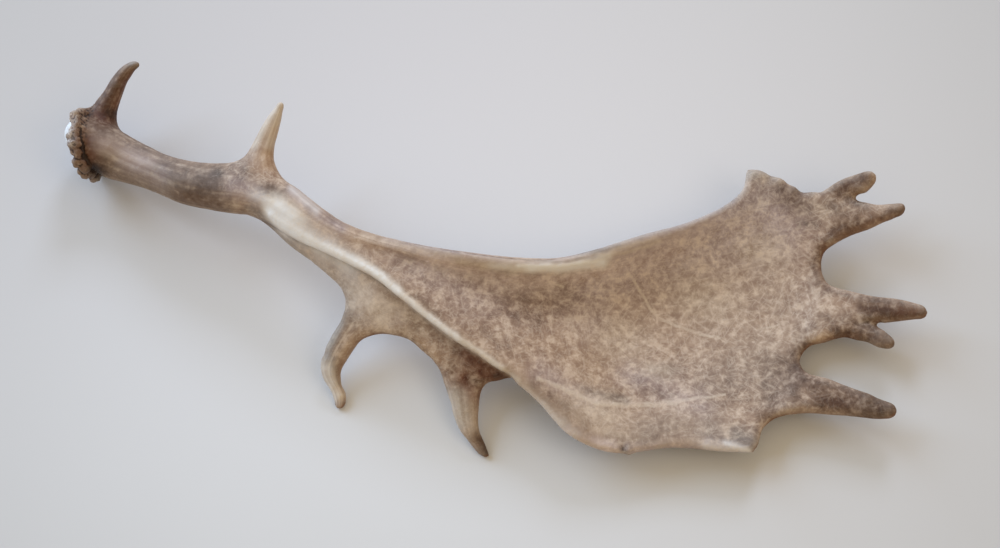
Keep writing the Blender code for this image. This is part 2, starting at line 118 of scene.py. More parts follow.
# A station of the beam and palm is (front edge, rear edge, thickness at the front edge, middle and rear
# edge, hollow). The hollow is how far the middle of the section lies below the line between its edges.
BEAM_AND_PALM = (
    ((-290.5, 107.5, 25.4), (-285, 73, 25.4), (36.5, 36.5, 36.5), 0),
    ((-278, 105, 28), (-279, 70, 27.5), (35.5, 35.5, 35.5), 0),
    ((-262, 98, 28), (-268, 66.5, 27), (31, 32, 31), 0),
    ((-248, 89.5, 30), (-256, 63, 29), (28, 28, 28), 0),
    ((-233, 82.5, 33), (-242, 58, 32), (26, 27, 26), 0),
    ((-217, 78, 37), (-225, 50.5, 36), (27, 27, 27), 0),
    ((-200, 76.5, 42), (-204, 45.5, 40), (28, 28, 28), 0),
    ((-183, 77, 47), (-188, 43, 44), (28, 28, 28), 0),
    ((-165, 74, 51), (-173, 41, 46), (28, 28, 26), 0),
    ((-149, 65, 54), (-160, 34, 48), (27, 26, 22), 0),
    ((-131, 51, 56), (-143, 24, 50), (24, 22, 16), 1),
    ((-112, 37.5, 57), (-124, 15.5, 52), (21, 17, 12), 2),
    ((-90, 28.8, 57), (-104, 6, 53), (18, 14, 10), 3),
    ((-68, 23.2, 57), (-86, -4, 53), (16, 12, 9), 4),
    ((-45, 17.6, 56), (-68, -18, 52), (15, 10, 8.5), 7),
    ((-20, 13.8, 54), (-48, -34, 49), (14, 9, 8), 10.4),
    ((10, 10.2, 51), (-25, -50.5, 45), (13, 8, 8), 14.5),
    ((40, 10.3, 47), (0, -67, 40), (13, 8, 8), 18.7),
    ((70, 17.9, 43), (25, -88, 34), (12, 8, 7.5), 24),
    ((100, 27.3, 37), (50, -114, 28), (11, 8, 7), 27.9),
    ((130, 35.6, 34), (80, -125, 22), (8.5, 8, 7), 25.6),
    ((155, 46.6, 33), (120, -121.5, 20), (7, 8, 7), 21.8),
    ((169.5, 58.5, 33), (155, -124, 20), (6.5, 8, 7), 17.7),
    ((172.5, 74.5, 34), (177, -125, 20), (6.5, 8, 7), 13.5),
)

# The palm's outer margin from its front corner to its rear corner, through the bottoms of the bays.
CROWN = (
    (172.5, 74.5, 34),
    (190, 69, 33),
    (202, 64, 32),
    (212, 56, 30),
    (221, 30, 23),
    (226.5, 5, 17),
    (220, -28, 13),
    (211, -60, 12),
    (198, -88, 14),
    (186, -106, 17),
    (182, -118, 19),
    (177, -125, 20),
)
# Share of the palm's length where its sections start to bend to the crown, and how much deeper the hollow is
# towards the front edge.
CROWN_START = 0.45
LEAN = 0.7

# A station of a tine or a web is (front or left edge, rear or right edge, thickness).
BROW_TINE = (
    ((-293, 98, 26), (-260, 86, 26), 26),
    ((-289, 109, 28), (-265, 100, 28), 24),
    ((-286.5, 115.5, 30), (-268.5, 106.5, 30), 19),
    ((-282, 121.5, 34), (-268, 114, 34), 15),
    ((-276.5, 128.5, 39), (-265, 124, 39), 12.5),
    ((-272, 136, 44), (-262, 133, 44), 11),
    ((-266.8, 142.5, 49), (-258.5, 138.5, 49), 9),
    ((-260.5, 147.3, 53), (-255.8, 142.8, 53), 6.5),
    ((-254.5, 149.3, 56), (-251.8, 146.3, 56), 4.5),
)
TREZ_TINE = (
    ((-198, 62, 46), (-140, 50, 54), 22),
    ((-188, 76, 47), (-148, 63, 54), 21),
    ((-180, 80.5, 49), (-154, 70.5, 54), 19),
    ((-175, 86.5, 52), (-158, 79, 55), 16),
    ((-171, 94, 56), (-158, 88, 57), 13),
    ((-166.7, 102.5, 61), (-156, 97, 61), 10.5),
    ((-161.7, 110.5, 66), (-154, 106, 66), 8),
    ((-157, 117, 71), (-152.3, 114, 71), 5.5),
    ((-154.7, 121, 74), (-150.7, 119, 74), 4),
)
FRONT_SPELLER = (
    ((200, 52, 28.5), (212, 6, 15), 5),
    ((212, 57.5, 30), (225, 6, 17), 7.5),
    ((225, 57, 30), (227, 13.5, 20), 9),
    ((238, 56, 30), (235, 21, 24), 10),
    ((250, 52, 31), (247, 27.5, 27), 10),
    ((262, 48.5, 32), (260, 32.5, 30), 9.5),
    ((273, 48.8, 33), (272, 37.8, 32), 8.5),
    ((284, 49.5, 34), (284, 42, 34), 7),
)
FRONT_SPELLER_POINT = (
    ((216, 52, 28), (232, 36, 27), 7),
    ((229, 60, 31), (242, 48, 29), 9),
    ((240, 66.5, 34), (250, 54.5, 32), 10),
    ((250, 70, 37), (256, 57, 36), 9.5),
    ((260.5, 73.5, 40.5), (265.5, 66, 39.5), 8),
)
MIDDLE_SPELLER = (
    ((208, 3, 13.5), (194, -52, 7.5), 5),
    ((225, 4, 17), (209.5, -58, 11), 7.5),
    ((229, -5, 17), (216, -51.5, 14), 9),
    ((239, -10.5, 18), (232, -46.5, 16), 10),
    ((251, -13.5, 20), (248, -40, 18), 11),
    ((262, -16, 21), (261, -34.5, 20), 11),
    ((273, -17.3, 22), (272, -33.8, 22), 10.5),
    ((284, -19, 24), (284, -32.5, 24), 9.5),
    ((299.2, -23, 26), (299.6, -31, 26), 8),
)
MIDDLE_SPELLER_POINT = (
    ((240, -24, 17), (230, -44, 15), 8),
    ((253, -31, 18), (247, -46, 17), 9.5),
    ((263, -35.5, 19), (257, -47.5, 18), 9.5),
    ((270, -41, 20), (265, -51, 20), 8.5),
    ((277.5, -47.5, 21), (274.5, -52.5, 21), 6.5),
)
REAR_SPELLER = (
    ((190, -58, 7.5), (165, -104, 13), 5),
    ((209, -61, 11.5), (180, -111, 16), 7),
    ((214, -67.5, 14), (192.5, -101.5, 17), 9),
    ((223, -71, 16), (210, -97.5, 17), 10),
    ((238, -77, 18), (232, -98.5, 18), 10.5),
    ((254, -83, 20), (251, -100, 20), 10),
    ((267, -88.5, 21), (265, -101.2, 21), 9),
    ((277.8, -92.3, 22), (277.3, -100.3, 22), 8),
)
REAR_WEB = (
    ((-178, 58, 44), (-182, 43.5, 42), 18),
    ((-158, 46, 44), (-166, 36.5, 40), 15),
    ((-136, 34, 47), (-147, 20, 37), 12),
    ((-112, 24, 49), (-128, 6, 34), 10.5),
    ((-92, 14, 50), (-113, -10, 32), 9.5),
    ((-72, 2, 49), (-101, -34, 28), 9),
    ((-54, -8, 46), (-84, -42.5, 26), 8.5),
    ((-36, -20, 43), (-66, -46.5, 25), 8.5),
    ((-18, -31, 38), (-50, -59, 24), 8.5),
    ((-2, -42, 35), (-27, -73, 21), 8.5),
    ((14, -52, 31), (-6, -75.5, 19), 8),
    ((32, -56, 26), (12, -73, 19), 7),
)
LOWER_REAR_TINE = (
    ((-104, -2, 38.5), (-66, -30, 34), 5),
    ((-109.5, -18, 31.5), (-82, -42.3, 27), 7),
    ((-112.5, -33, 27), (-95.5, -46.2, 24), 10),
    ((-118, -44, 23), (-102, -52.2, 21), 10.5),
    ((-122.5, -53.5, 18), (-107, -60, 17), 10.5),
    ((-125.5, -64, 13), (-111, -67.5, 13), 9.5),
    ((-123.5, -73, 9.5), (-111.2, -74, 9.5), 8),
    ((-118.5, -81.5, 6.5), (-109, -80.5, 6.5), 7),
    ((-116, -88, 3.6), (-107.6, -87, 3.6), 6),
    ((-115.5, -94.5, 2), (-109, -94.5, 2), 5.5),
)
UPPER_REAR_TINE = (
    ((-58, -34, 33), (14, -58, 27.5), 5),
    ((-60, -50.2, 25.5), (6, -73.3, 20), 7),
    ((-51, -58, 24), (-4, -74.5, 20), 8.5),
    ((-44, -67, 21), (-10, -79, 17), 10),
    ((-38.5, -79, 18), (-13.5, -86, 15), 11),
    ((-34.5, -90, 15), (-15, -95, 13), 11),
    ((-32, -100, 12), (-15.2, -104, 11), 10.5),
    ((-28, -109, 9), (-13.8, -112, 9), 9),
    ((-21.5, -117.5, 5), (-11, -118.5, 5), 7.5),
    ((-14, -127, 1.6), (-7, -129, 1.6), 5.5),
)

LIMBS = (
    BROW_TINE,
    TREZ_TINE,
    FRONT_SPELLER,
    FRONT_SPELLER_POINT,
    MIDDLE_SPELLER,
    MIDDLE_SPELLER_POINT,
    REAR_SPELLER,
    REAR_WEB,
    LOWER_REAR_TINE,
    UPPER_REAR_TINE,
)

# Tints of the surface, as seen by the eye in 8-bit steps.
BASE_TINT = (176, 151, 131)
TINTS = {
    "smoke": (106, 90, 80),
    "olive": (148, 132, 114),
    "golden": (186, 154, 120),
    "fawn": (186, 167, 151),
    "mauve": (180, 166, 170),
    "blush": (208, 191, 187),
    "umber": (86, 57, 37),
    "rust": (103, 54, 28),
    "pitch": (36, 22, 16),
    "ash": (154, 147, 141),
    "cream": (212, 199, 182),
    "chalk": (236, 237, 240),
}

# Washes of a tint along a path of places as seen: (strength, width, place, ...). Width is where it has
# faded to about a third. Some washes are partly painted light or shade, as noted where they stand.
RIDGE_FOOT = (-72, -10.5)
WASHES = {
    "smoke": (
        (0.95, 20, (-285, 92), (-255, 78), (-225, 63), (-204, 60)),
        (0.4, 8, (-183, 77), (-179, 66)),
        (0.4, 2.5, (-68, 21.5), (-52, 18), (-30, 15)),
        (0.9, 5.5, (-174, 46), (-168, 42), (-158, 33), (-146, 19), (-134, 7)),
        (0.7, 5.5, (-167, 61), (-157, 56)),
        (0.4, 8, (190, -70), (186, -86)),
        (0.5, 5, (231, 47), (240, 42)),
        (0.6, 5, (243, 52), (256, 47)),
        (0.35, 6, (226, -30), (250, -32)),
        (0.4, 5, (181, 52), (186, 48)),
        (0.7, 3, (57, -80), (70, -84), (88, -88)),
        # Painted shade over the lit rounded rear edge.
        (0.5, 3, (132, -122), (178, -127)),
        (0.4, 6, (-218, 66), (-206, 66)),
        # These two: grey-brown edge colour with painted shade over the highlight along the top outline.
        (0.7, 2, (46, 14), (70, 18), (98, 27.5), (130, 36), (150, 43), (163, 51), (170, 62)),
        (0.85, 3, (196, 60), (206, 58), (222, 59)),
        (0.8, 8, (256, -94), (272, -96)),
        (0.6, 9, (-110, -26), (-120, -55), (-118, -72)),
        (0.5, 10, (185, 62), (200, 54), (212, 44)),
        (0.35, 10, (150, 30), (175, 50)),
        (0.4, 9, (-66, 10), (-48, 2)),
        (0.35, 8, (95, -75), (120, -66)),
        (0.3, 12, (205, -85), (195, -98)),
        (0.3, 20, (150, -80), (185, -70)),
        (0.85, 7, (166, -114), (177, -121)),
    ),
    "olive": (
        (0.85, 11, (-150, 14), (-122, -10), (-104, -28)),
        (0.5, 16, (-118, 2), (-90, -22), (-66, -34)),
        (0.6, 9, (-262, 70), (-240, 62)),
        (0.3, 8, (-30, -95), (-20, -110)),
        (0.45, 11, (165, 46), (200, 52), (224, 46)),
        (0.45, 7, (76, -114), (100, -116)),
    ),
    "golden": (
        (0.45, 8, (-163, 76), (-161, 96), (-157, 108)),
        (0.8, 4.5, (216, -47), (228, -42.5), (248, -44)),
        (0.5, 5, (-58, -48), (-46, -60)),
        (0.5, 5, (256, 67), (264, 71)),
        (0.35, 18, (6, -22), (34, -34), (56, -46)),
        (0.5, 5, (224, 20), (234, 31), (252, 37)),
    ),
    "fawn": (
        (0.6, 5, (-202, 50), (-190, 49)),
        # Pale streak on top of the beam by the burr, partly a painted highlight.
        (0.85, 6, (-290, 99), (-276, 96)),
        (0.4, 5, (-282, 88), (-262, 80)),
        (0.5, 5, (-238, 54), (-212, 48)),
        (0.3, 24, (60, -20), (100, -18), (150, 0), (190, 5)),
        (0.2, 22, (66, -50), (95, -45)),
        (0.4, 6, (-72, -36), (-60, -38)),
        (0.6, 9, (-94, -18), (-78, -30)),
        (0.85, 7, (-27, -88), (-23, -104)),
        (0.4, 12, (-136, 24), (-112, 2), (-92, -16)),
    ),
    "mauve": (
        (0.85, 26, (66, -2), (110, 10), (150, 22), (190, 32)),
        (0.2, 20, (20, -24), (60, -30)),
        (0.45, 9, (28, -68), (46, -80), (64, -88)),
        (0.6, 5, (146, -119), (176, -124)),
        (0.6, 7, (-186, 60), (-173, 56)),
        (0.4, 10, (90, -70), (140, -92)),
        (0.3, 9, (-92, -20), (-76, -28)),
        (0.45, 7, (-30, -90), (-26, -100)),
        (0.5, 3, (84, 14), (108, 22)),
        (0.4, 18, (-60, 12), (-10, -14)),
        (0.9, 4, (66, -120), (90, -124), (120, -121), (172, -127)),
        (0.6, 5, (-146, 58), (-128, 42), (-112, 32)),
        (0.2, 3, (-80, 24), (-40, 16), (0, 12)),
        (0.4, 10, (-104, -14), (-90, -30)),
        (0.4, 9, (-258, 76), (-240, 68)),
    ),
    "blush": (
        # Pale band along the top of the beam, partly a painted highlight.
        (0.45, 5, (-278, 92), (-260, 83), (-246, 78)),
        # These three: painted light on the self-shaded inner wall below the front rim.
        (0.85, 7, (-50, 9), (-30, 4), (0, -1), (21, -3), (42, -2), (63, 1), (76, 4)),
        (0.5, 9, (0, -8), (40, -8)),
        (0.4, 8, (76, 6), (100, 8), (124, 16)),
        (0.8, 5, (20, -88), (40, -107), (60, -118), (76, -122)),
        (0.4, 6, (-146, 34), (-124, 20)),
        (0.5, 9, (-92, -18), (-76, -30)),
    ),
    "umber": (
        (0.99, 12, (-280, 106), (-271, 124), (-263, 138), (-256, 145)),
        (0.6, 6, (-289, 109), (-281, 122), (-270, 138)),
        (0.6, 9, (-299, 92), (-297, 80), (-290, 72)),
        (0.35, 10, (-212, 54), (-198, 56)),
        (0.55, 5, (-226, 55), (-205, 50), (-190, 48)),
        (0.28, 9, (2, -18), (22, -19), (44, -14)),
        (0.15, 26, (-20, -14), (40, -26)),
        (0.3, 7, (-12, -42), (4, -50)),
        (0.5, 3, (24, -76), (36, -85), (47, -93)),
        (0.5, 5, (203, -69), (207, -76)),
        (0.4, 3, (218, -11), (224, -16)),
        (0.7, 3, (252, 35), (266, 39), (280, 42)),
        (0.6, 3, (218, -74), (240, -80), (262, -87)),
        (0.5, 3.5, (84, -119), (90, -121)),
        (0.35, 7, (12, -29), (28, -31)),
        (0.5, 5, (208, -44), (220, -38)),
        (0.5, 6, (198, -66), (202, -76)),
        (0.4, 6, (192, -92), (208, -92)),
        (0.5, 2.5, (228, -12), (250, -16), (280, -19)),
        (0.5, 4, (250, -36), (256, -36)),
        (0.4, 3.5, (66, -82), (84, -86)),
        (0.7, 5, (-295, 96), (-291, 84), (-287, 76)),
        # Dark colour with painted shade in the gap below the burr's far pearls.
        (0.6, 5, (-286, 76), (-280, 72)),
        (0.3, 6, (-108, -12), (-106, -24)),
        (0.6, 5, (-34, -66), (-31, -75)),
        (0.35, 2.4, (-66, -12), (-56, -18), (-46, -26)),
        (0.3, 5, (104, -83), (120, -85)),
        (0.3, 9, (106, -112), (116, -108)),
        (0.35, 8, (26, -84), (44, -100), (58, -112)),
        (0.9, 8, (238, 60), (254, 67)),
        (0.9, 7, (236, 30), (250, 36)),
        (0.95, 5, (274, 44), (286, 46)),
        (0.6, 4, (227, 20), (221, 10), (220, 2), (222, -5), (229, -12)),
        (0.85, 4, (214, -49), (206, -55), (205, -63), (210, -72), (220, -79)),
        (0.6, 4.5, (190, -98), (180, -106), (176, -118)),
        (0.75, 5, (-162, 60), (-153, 57)),
        (0.45, 1, (18, 8.8), (44, 8.2), (74, 12.8)),
        (0.5, 2, (56, 14.5), (84, 19)),
        (0.35, 4, (-132, 44), (-118, 38)),
        (0.35, 5, (236, -84), (256, -90)),
        (0.3, 6, (226, 20), (240, 28)),
        (0.97, 9, (258, -25), (275, -26)),
        (0.8, 7, (280, -27), (296, -28)),
        (0.95, 8, (236, -42), (258, -44), (278, -50)),
        (0.95, 10.5, (227, -88), (248, -93), (280, -97)),
        (0.6, 4.5, (225, 16), (226, 8), (226, -2)),
        (0.6, 5, (214, -52), (208, -60), (212, -68)),
        (0.35, 9, (196, -64), (206, -76)),
        (0.6, 8, (200, 57), (208, 50)),
        (0.3, 10, (100, -108), (126, -110)),
        (0.2, 9, (-40, -42), (-26, -58)),
        (0.25, 3, (-121, -60), (-118, -72), (-112, -84)),
        (1, 7, (-15, -114), (-8, -126)),
        (0.4, 3, (-86, -41), (-64, -46), (-52, -56), (-42, -70), (-37, -84)),
    ),
    "rust": (
        (0.6, 8, (-291, 94), (-288, 82)),
        (0.9, 6, (-277, 112), (-268, 112)),
        (0.8, 4, (-268, 116), (-263, 126), (-256, 140)),
        # Reddish brown with painted shade in the crevice under the end of the ridge.
        (0.8, 5, (-24, -56), (-8, -64), (4, -71)),
        (0.2, 9, (-275, 120), (-266, 132)),
        (0.3, 6, (280, -26), (298, -28)),
        # These two as well: reddish brown with painted shade under the end of the ridge.
        (0.5, 5, (-20, -63), (-8, -68)),
        (1, 5, (-14, -70), (8, -75)),
        (0.9, 6, (-26, -72), (-20, -84)),
        (0.9, 2.5, (-115, -91), (-110, -91)),
        (0.5, 2.5, (226, 20), (226, 2)),
        (0.4, 2.5, (216, -50), (234, -45), (250, -45)),
        (0.35, 3, (236, 26), (254, 33), (274, 41)),
        (0.35, 3, (-15, -82), (-15, -100)),
    ),
    "pitch": (
        # These two: dark colour with painted shade in the gap below the burr's far pearls.
        (0.95, 5, (-285, 74), (-280, 70)),
        (0.8, 4, (-283, 68), (-280, 66)),
        (0.7, 5, (-275, 113), (-271, 112)),
        # These two: dark colour with painted shade in the crevice under the end of the ridge.
        (0.5, 3, (-2, -72), (5, -74)),
        (0.5, 5, (-19, -74), (-10, -76)),
        (0.35, 4, (254, -34), (261, -38)),
        (0.3, 7, (254, -92), (270, -96)),
        (0.5, 4, (-9, -124), (-8, -127)),
        (0.4, 2, (210, 35), (221, 34)),
        (0.6, 2.2, (86, -123), (87, -124)),
        (0.35, 3.5, (-198, 70), (-196, 70)),
    ),
    "ash": (
        (0.7, 3, (-258, 148), (-255, 149)),
        (0.8, 4.5, (-114, -36), (-121, -56), (-123, -70), (-117, -84)),
        (0.75, 6, (-32, -84), (-28, -106)),
        (0.5, 5, (-28, -88), (-24, -100)),
        (0.12, 26, (150, -74), (182, -64), (195, -30)),
        (0.45, 7, (60, 14), (100, 30), (135, 44), (160, 58)),
        (0.5, 12, (148, -112), (176, -120)),
        (0.6, 5, (175, 70), (192, 68)),
        (0.45, 4, (-298, 114), (-297, 108)),
    ),
    "cream": (
        (0.95, 8, (-157, 49), (-152, 45), (-144, 38)),
        (0.5, 12, (-98, -16), (-78, -26)),
        (0.5, 5, (104, -66), (116, -69)),
        (0.35, 16, (80, -44), (90, -48)),
        (0.4, 14, (178, 18), (188, 16)),
        (0.3, 18, (136, -16), (146, -20)),
        # These two: pale bone with a painted highlight along the ridge.
        (0.9, 3.2, (-163, 45), (-152, 33), (-128, 21.5), (-112, 14.5), (-99, 9), (-82, -2), RIDGE_FOOT),
        (0.85, 2.3, RIDGE_FOOT, (-59, -22.5), (-44, -34.5), (-30, -44), (-14, -54.5), (1, -65), (12, -74)),
        (0.5, 4, (-33, -86), (-29, -104)),
        (0.35, 6, (-24, -86), (-20, -106)),
        (0.4, 4, (-162, 90), (-158, 108)),
        (0.4, 3, (12, -76), (27, -89), (42, -104)),
        (0.3, 2.2, (-97, 28), (-70, 20), (-45, 14), (-20, 9)),
        # These three: the front rim's pale band, with a painted highlight on its inner face.
        (0.35, 3, (-30, 9), (-10, 6)),
        (0.5, 3.4, (-12, 5), (8, 4)),
        (0.85, 3.6, (8, 4), (21, 3.6), (42, 4), (63, 6), (74, 8.6)),
        (0.5, 1.4, (77, 15.5), (98, 22), (109, 25)),
        (0.5, 1.4, (70, 13.4), (86, 14.6), (100, 18.8), (111, 22.7)),
        (0.6, 6, (-123, -66), (-122, -76), (-114, -84)),
        (0.7, 3, (-172, 90), (-165, 104), (-160, 112)),
        (0.9, 4, (-156, 114), (-153, 120)),
        (0.12, 34, (150, -10), (175, -40)),
        (0.4, 14, (54, -90), (70, -98)),
        (0.2, 14, (70, -98), (90, -104), (125, -104)),
        (0.35, 9, (-105, -12), (-84, -30)),
        # Pale band along the top of the beam, partly a painted highlight.
        (0.15, 3.5, (-276, 88), (-256, 79), (-240, 74)),
        (0.5, 3, (-111, -86), (-113, -90)),
    ),
    "chalk": (
        (0.75, 6, (-155, 48), (-148, 40)),
        (0.55, 3, (-302, 100), (-300.5, 91)),
        # These two: the front rim's pale band, with a painted highlight.
        (0.55, 2.6, (62, 9), (76, 13)),
        (0.9, 1.3, (12, 6), (40, 5.4), (72, 9.6)),
        (0.45, 4.5, (-172, 56), (-163, 51)),
        # These five: pale bone with a painted highlight along the ridge.
        (1, 3.4, (-162, 45), (-152, 33), (-129, 20.5), (-112, 13.5)),
        (1, 3.2, (-112, 13.5), (-99, 8), (-84, -1)),
        (0.95, 2.7, (-84, -1), (-72, -10.8)),
        (0.75, 2.3, RIDGE_FOOT, (-59, -23), (-44, -34.5), (-30, -44)),
        (0.35, 2, (-30, -44), (-14, -54), (2, -65)),
        # These two: the front rim's pale band, with a painted highlight.
        (0.45, 3, (-6, 5), (22, 3.2)),
        (0.75, 3, (20, 3.4), (42, 4), (63, 6), (73, 8.2)),
        (0.4, 4, (-121, -66), (-115, -86)),
        (0.5, 3, (-146, 60), (-128, 45)),
        (0.3, 5, (-160, 92), (-156, 112)),
        (0.65, 9, (-148, 36), (-118, 14), (-104, 6)),
        (0.65, 2.2, (158, -118), (174, -124)),
        (0.4, 3, (144, -121), (172, -126)),
        (0.3, 4, (14, -80), (34, -98), (52, -113)),
    ),
}

# Where the surface is grooved along the limb, and where fine lines along it show, in the same form.
STREAKS = (
    (1, 26, (-290, 92), (-250, 76), (-215, 62), (-180, 60), (-160, 52)),
    (0.6, 14, (-275, 116), (-258, 144)),
    (0.8, 14, (-164, 80), (-156, 110)),
    (0.7, 12, (-150, 60), (-110, 34), (-70, 20), (-20, 10), (20, 9)),
    (0.9, 7, (20, 6), (60, 9), (110, 24), (150, 40)),
    (0.4, 14, (-150, 30), (-110, 0), (-70, -26)),
    (0.8, 12, (14, -72), (40, -98), (62, -116)),
    (0.5, 14, (80, -112), (150, -112)),
    (0.85, 12, (-110, -30), (-122, -66), (-112, -90)),
    (0.55, 12, (-30, -70), (-24, -100), (-10, -124)),
    (0.3, 14, (225, 40), (280, 46)),
    (0.3, 10, (240, 60), (262, 70)),
    (0.3, 14, (235, -28), (298, -27)),
    (0.3, 8, (250, -40), (275, -50)),
    (0.3, 14, (215, -82), (276, -96)),
)
FINE_LINES = (
    (0.9, 40, (-60, 2), (0, -20), (50, -20)),
    (0.6, 34, (60, -30), (110, -10), (160, 10)),
    (0.5, 40, (80, -80), (170, -60)),
    (0.5, 12, (-110, -8), (-70, -34)),
)

# Edges turned this way, away from the window, take a brown stain along these strokes, in the same form:
# partly the antler's own brown and partly painted shade.
STAIN_AND_SHADE_WAY = (0.6, -0.8, 0)
STAIN_AND_SHADE_STROKES = (
    (1, 14, (-108, -20), (-84, -40), (-60, -48), (-50, -58)),
    (0.9, 12, (-106, -40), (-115, -62), (-110, -92)),
    (1, 14, (-30, -66), (-22, -96), (-8, -126)),
    (0.8, 8, (-6, -74), (8, -76)),
    (1, 12, (226, 40), (220, 4), (228, -6)),
    (0.6, 14, (230, 30), (284, 46)),
    (0.8, 8, (244, 60), (264, 70)),
    (1, 12, (240, -16), (300, -28)),
    (0.4, 8, (264, -46), (232, -42)),
    (1, 10, (214, -49), (206, -60), (216, -74)),
    (1, 12, (200, -104), (230, -98), (278, -98)),
    (0.8, 10, (186, -106), (178, -124)),
)

# Paths of the velvet's two largest blood vessels, and fine pale lines that vessels left, in the same form.
MIDDLE_VESSEL = (
    (90, 1.6), (95, -6), (100, -15), (104, -22.6), (112, -32), (123, -36.6), (139, -42), (154, -45)
)
REAR_VESSEL = ((27, -73.4), (41, -78.7), (57.5, -86.8), (68, -90.8), (86, -91.3))
VEINS = (
    (1, 1.5, *MIDDLE_VESSEL),
    (1, 2.4, *REAR_VESSEL, (106, -91.3), (122, -90.5)),
    (0.9, 1.6, (122, -90.5), (136, -86.6), (157, -85)),
    (0.8, 1.3, (97, -69.5), (117, -78.8), (120, -86.6)),
    (0.8, 1.3, (179, -39.8), (201, -33.5)),
    (0.9, 1.3, (28, 1.6), (33, -3.7), (44, -9)),
    (0.7, 1.2, (-3, -38.5), (8, -42.6), (21, -48)),
    (0.8, 1.3, (-40, 4), (-39, -2.4)),
    (0.7, 1.3, (39, -61), (52, -66.7), (64, -73.4)),
    (0.5, 1.1, (118, -62), (124, -74), (122, -86)),
    (0.5, 1.1, (70, -24), (84, -40), (100, -48), (112, -62)),
    (0.5, 1.1, (-66, 4), (-58, -6), (-50, -20)),
)

# Furrows, as (depth, half width, place, ...), and lumps, as (height, radius, place). A depth or height below
# nothing stands the other way, so most furrows here are raised lines.
FURROWS = (
    (-0.12, 1.2, *MIDDLE_VESSEL),
    (-0.2, 1.6, *REAR_VESSEL, (122, -90.5), (157, -85)),
    (0.35, 5, (62, -82), (80, -85), (104, -83), (122, -84)),
    (-0.6, 2.4, (-160, 41), (-128, 21), (-112, 13.5), (-84, -1.5), (-59, -22.5), (-30, -44.5), (1, -66)),
    (-0.3, 2.2, (10, 7), (42, 5.7), (76, 10), (96, 17.3)),
)
LUMPS = (
    (0.9, 5, (182, 72)),
    (-1.2, 3.5, (173, 74)),
    (0.8, 4, (197, 66)),
    (-0.6, 4, (189, 68)),
    (1.2, 4, (206, 60)),
    (1.3, 3.5, (90, -124)),
    (-1.0, 2.4, (86, -122)),
    (0.8, 3, (-267, 133)),
    (0.8, 5, (-176, 74)),
    (0.7, 5, (236, -44)),
    (0.8, 4, (262, -30)),
    (-0.8, 4, (250, -32)),
    (0.7, 4, (257, -87)),
    (0.7, 3.5, (272, 40)),
    (-0.7, 3, (-122, -56)),
    (0.9, 3, (-112, -86)),
    (-0.8, 3, (-110, -78)),
)

# Strokes where a fork is filled out to a soft round.
FORKS = (
    (1, 9, (-286, 108), (-262, 98)),
    (1, 9, (-182, 76), (-152, 64)),
    (1, 9, (-112, -12), (-108, -26), (-92, -42)),
    (1, 6, (-80, -42), (-60, -49)),
    (1, 6, (-60, -49), (-50, -58)),
    (1, 8, (-46, -64), (-12, -78)),
    (0.8, 5, (4, -73)),
    (1, 9, (206, 58), (212, 30)),
    (1, 7, (226, 14), (229, -6)),
    (1, 9, (214, -10), (206, -46)),
    (1, 7, (214, -54), (218, -70)),
    (1, 9, (198, -72), (184, -106)),
    (0.9, 4, (250, 53)),
    (0.9, 3, (263, -36)),
    (1, 7, (240, -34), (240, -45)),
    (0.9, 8, (234, 48), (244, 40)),
)

# Relief in millimetres: grooves along the limbs, broad swells and fine unevenness, each with its width.
GROOVES = 0.32
GROOVE_STRETCH = 14
GROOVE_WIDTH = 6.5
SWELL = 0.45
SWELL_WIDTH = 22
UNEVEN = 0.16
UNEVEN_WIDTH = 5
BURR_UNEVEN = 0.75
BURR_UNEVEN_WIDTH = 2.2
# Points along each side of the block of chance values that noise repeats.
LATTICE = 48

# Rounds and factor of the smoothing at forks, and the share under which a vertex is left where it is.
FORK_ROUNDS = 140
FORK_FACTORS = (0.5,)
SMALL_SHARE = 0.02

# How a limb runs is found from every so many rows and columns of its points, for a batch of places at a
# time, within a margin around it. Limbs are shifted apart, so that no two share a pattern, and the grain
# fades where two limbs are within SEAM_REACH of being equally near.
GRAIN_ROWS = 4
GRAIN_COLUMNS = 5
GRAIN_BATCH = 20000
GRAIN_MARGIN = 12
GRAIN_RADIUS = 20
GRAIN_SHIFT = 500
SEAM_REACH = 2.5

# Millimetres by which a wash wanders off its path, and the size of its bends.
WANDER = 1.3
WANDER_SIZE = 9
# How far the burr's colouring reaches along its axis, on both sides of the ring.
BURR_REACH = (9, 5)
# Height that the skin stays above.
FLOOR = 0.05

# Rounds of averaging whose gap to the surface says how hollow it is, narrowly and broadly.
HOLLOW_ROUNDS = {"nook": 4, "hollow": 60}
# Tints that go all round, and the share that reaches the far side of the other ones. How square to the sight
# a surface is goes from the far side to the side seen.
ALL_ROUND = ("smoke", "olive", "umber", "rust", "ash")
FAR_SHARE = 0.35
SIDE_SEEN = (-0.2, 0.3)
# How squarely an edge has to be turned away from the window to take the stain and painted shade.
STAIN_AND_SHADE_FROM = (0.55, 0.95)
# Where the seal's colour begins and where it is full: along the axis from its centre, and out from its rim.
SEAL_FROM = (-2, -4)
SEAL_RIM = (1, -2)

# Mottles, from cloud, blotch and fine to grit, as (size in metres, detail, roughness, distortion), and lines
# along the limb, from streak and thread to fan, as (share of the length that is kept, size in millimetres,
# detail, roughness, distortion).
MOTTLES = ((0.016, 4, 0.6, 0.3), (0.0075, 3, 0.55, 0.4), (0.0036, 2, 0.5, 0), (0.0016, 1, 0.5, 0))
DRAWN_OUT = ((0.06, 5.5, 2, 0.45, 0.25), (0.06, 2.0, 1, 0.5, 0), (0.022, 0.55, 2, 0.5, 0.5))
# Pale fibres over the palm: their turns, how much longer than wide they are, their width in metres, and how
# far apart in height the patterns of two turns are taken.
FIBRE_TURNS = (0.2, 0.95, 1.75, 2.5)
FIBRE_LENGTH = 7
FIBRE_WIDTH = 0.0015
FIBRE_SHIFT = 0.13
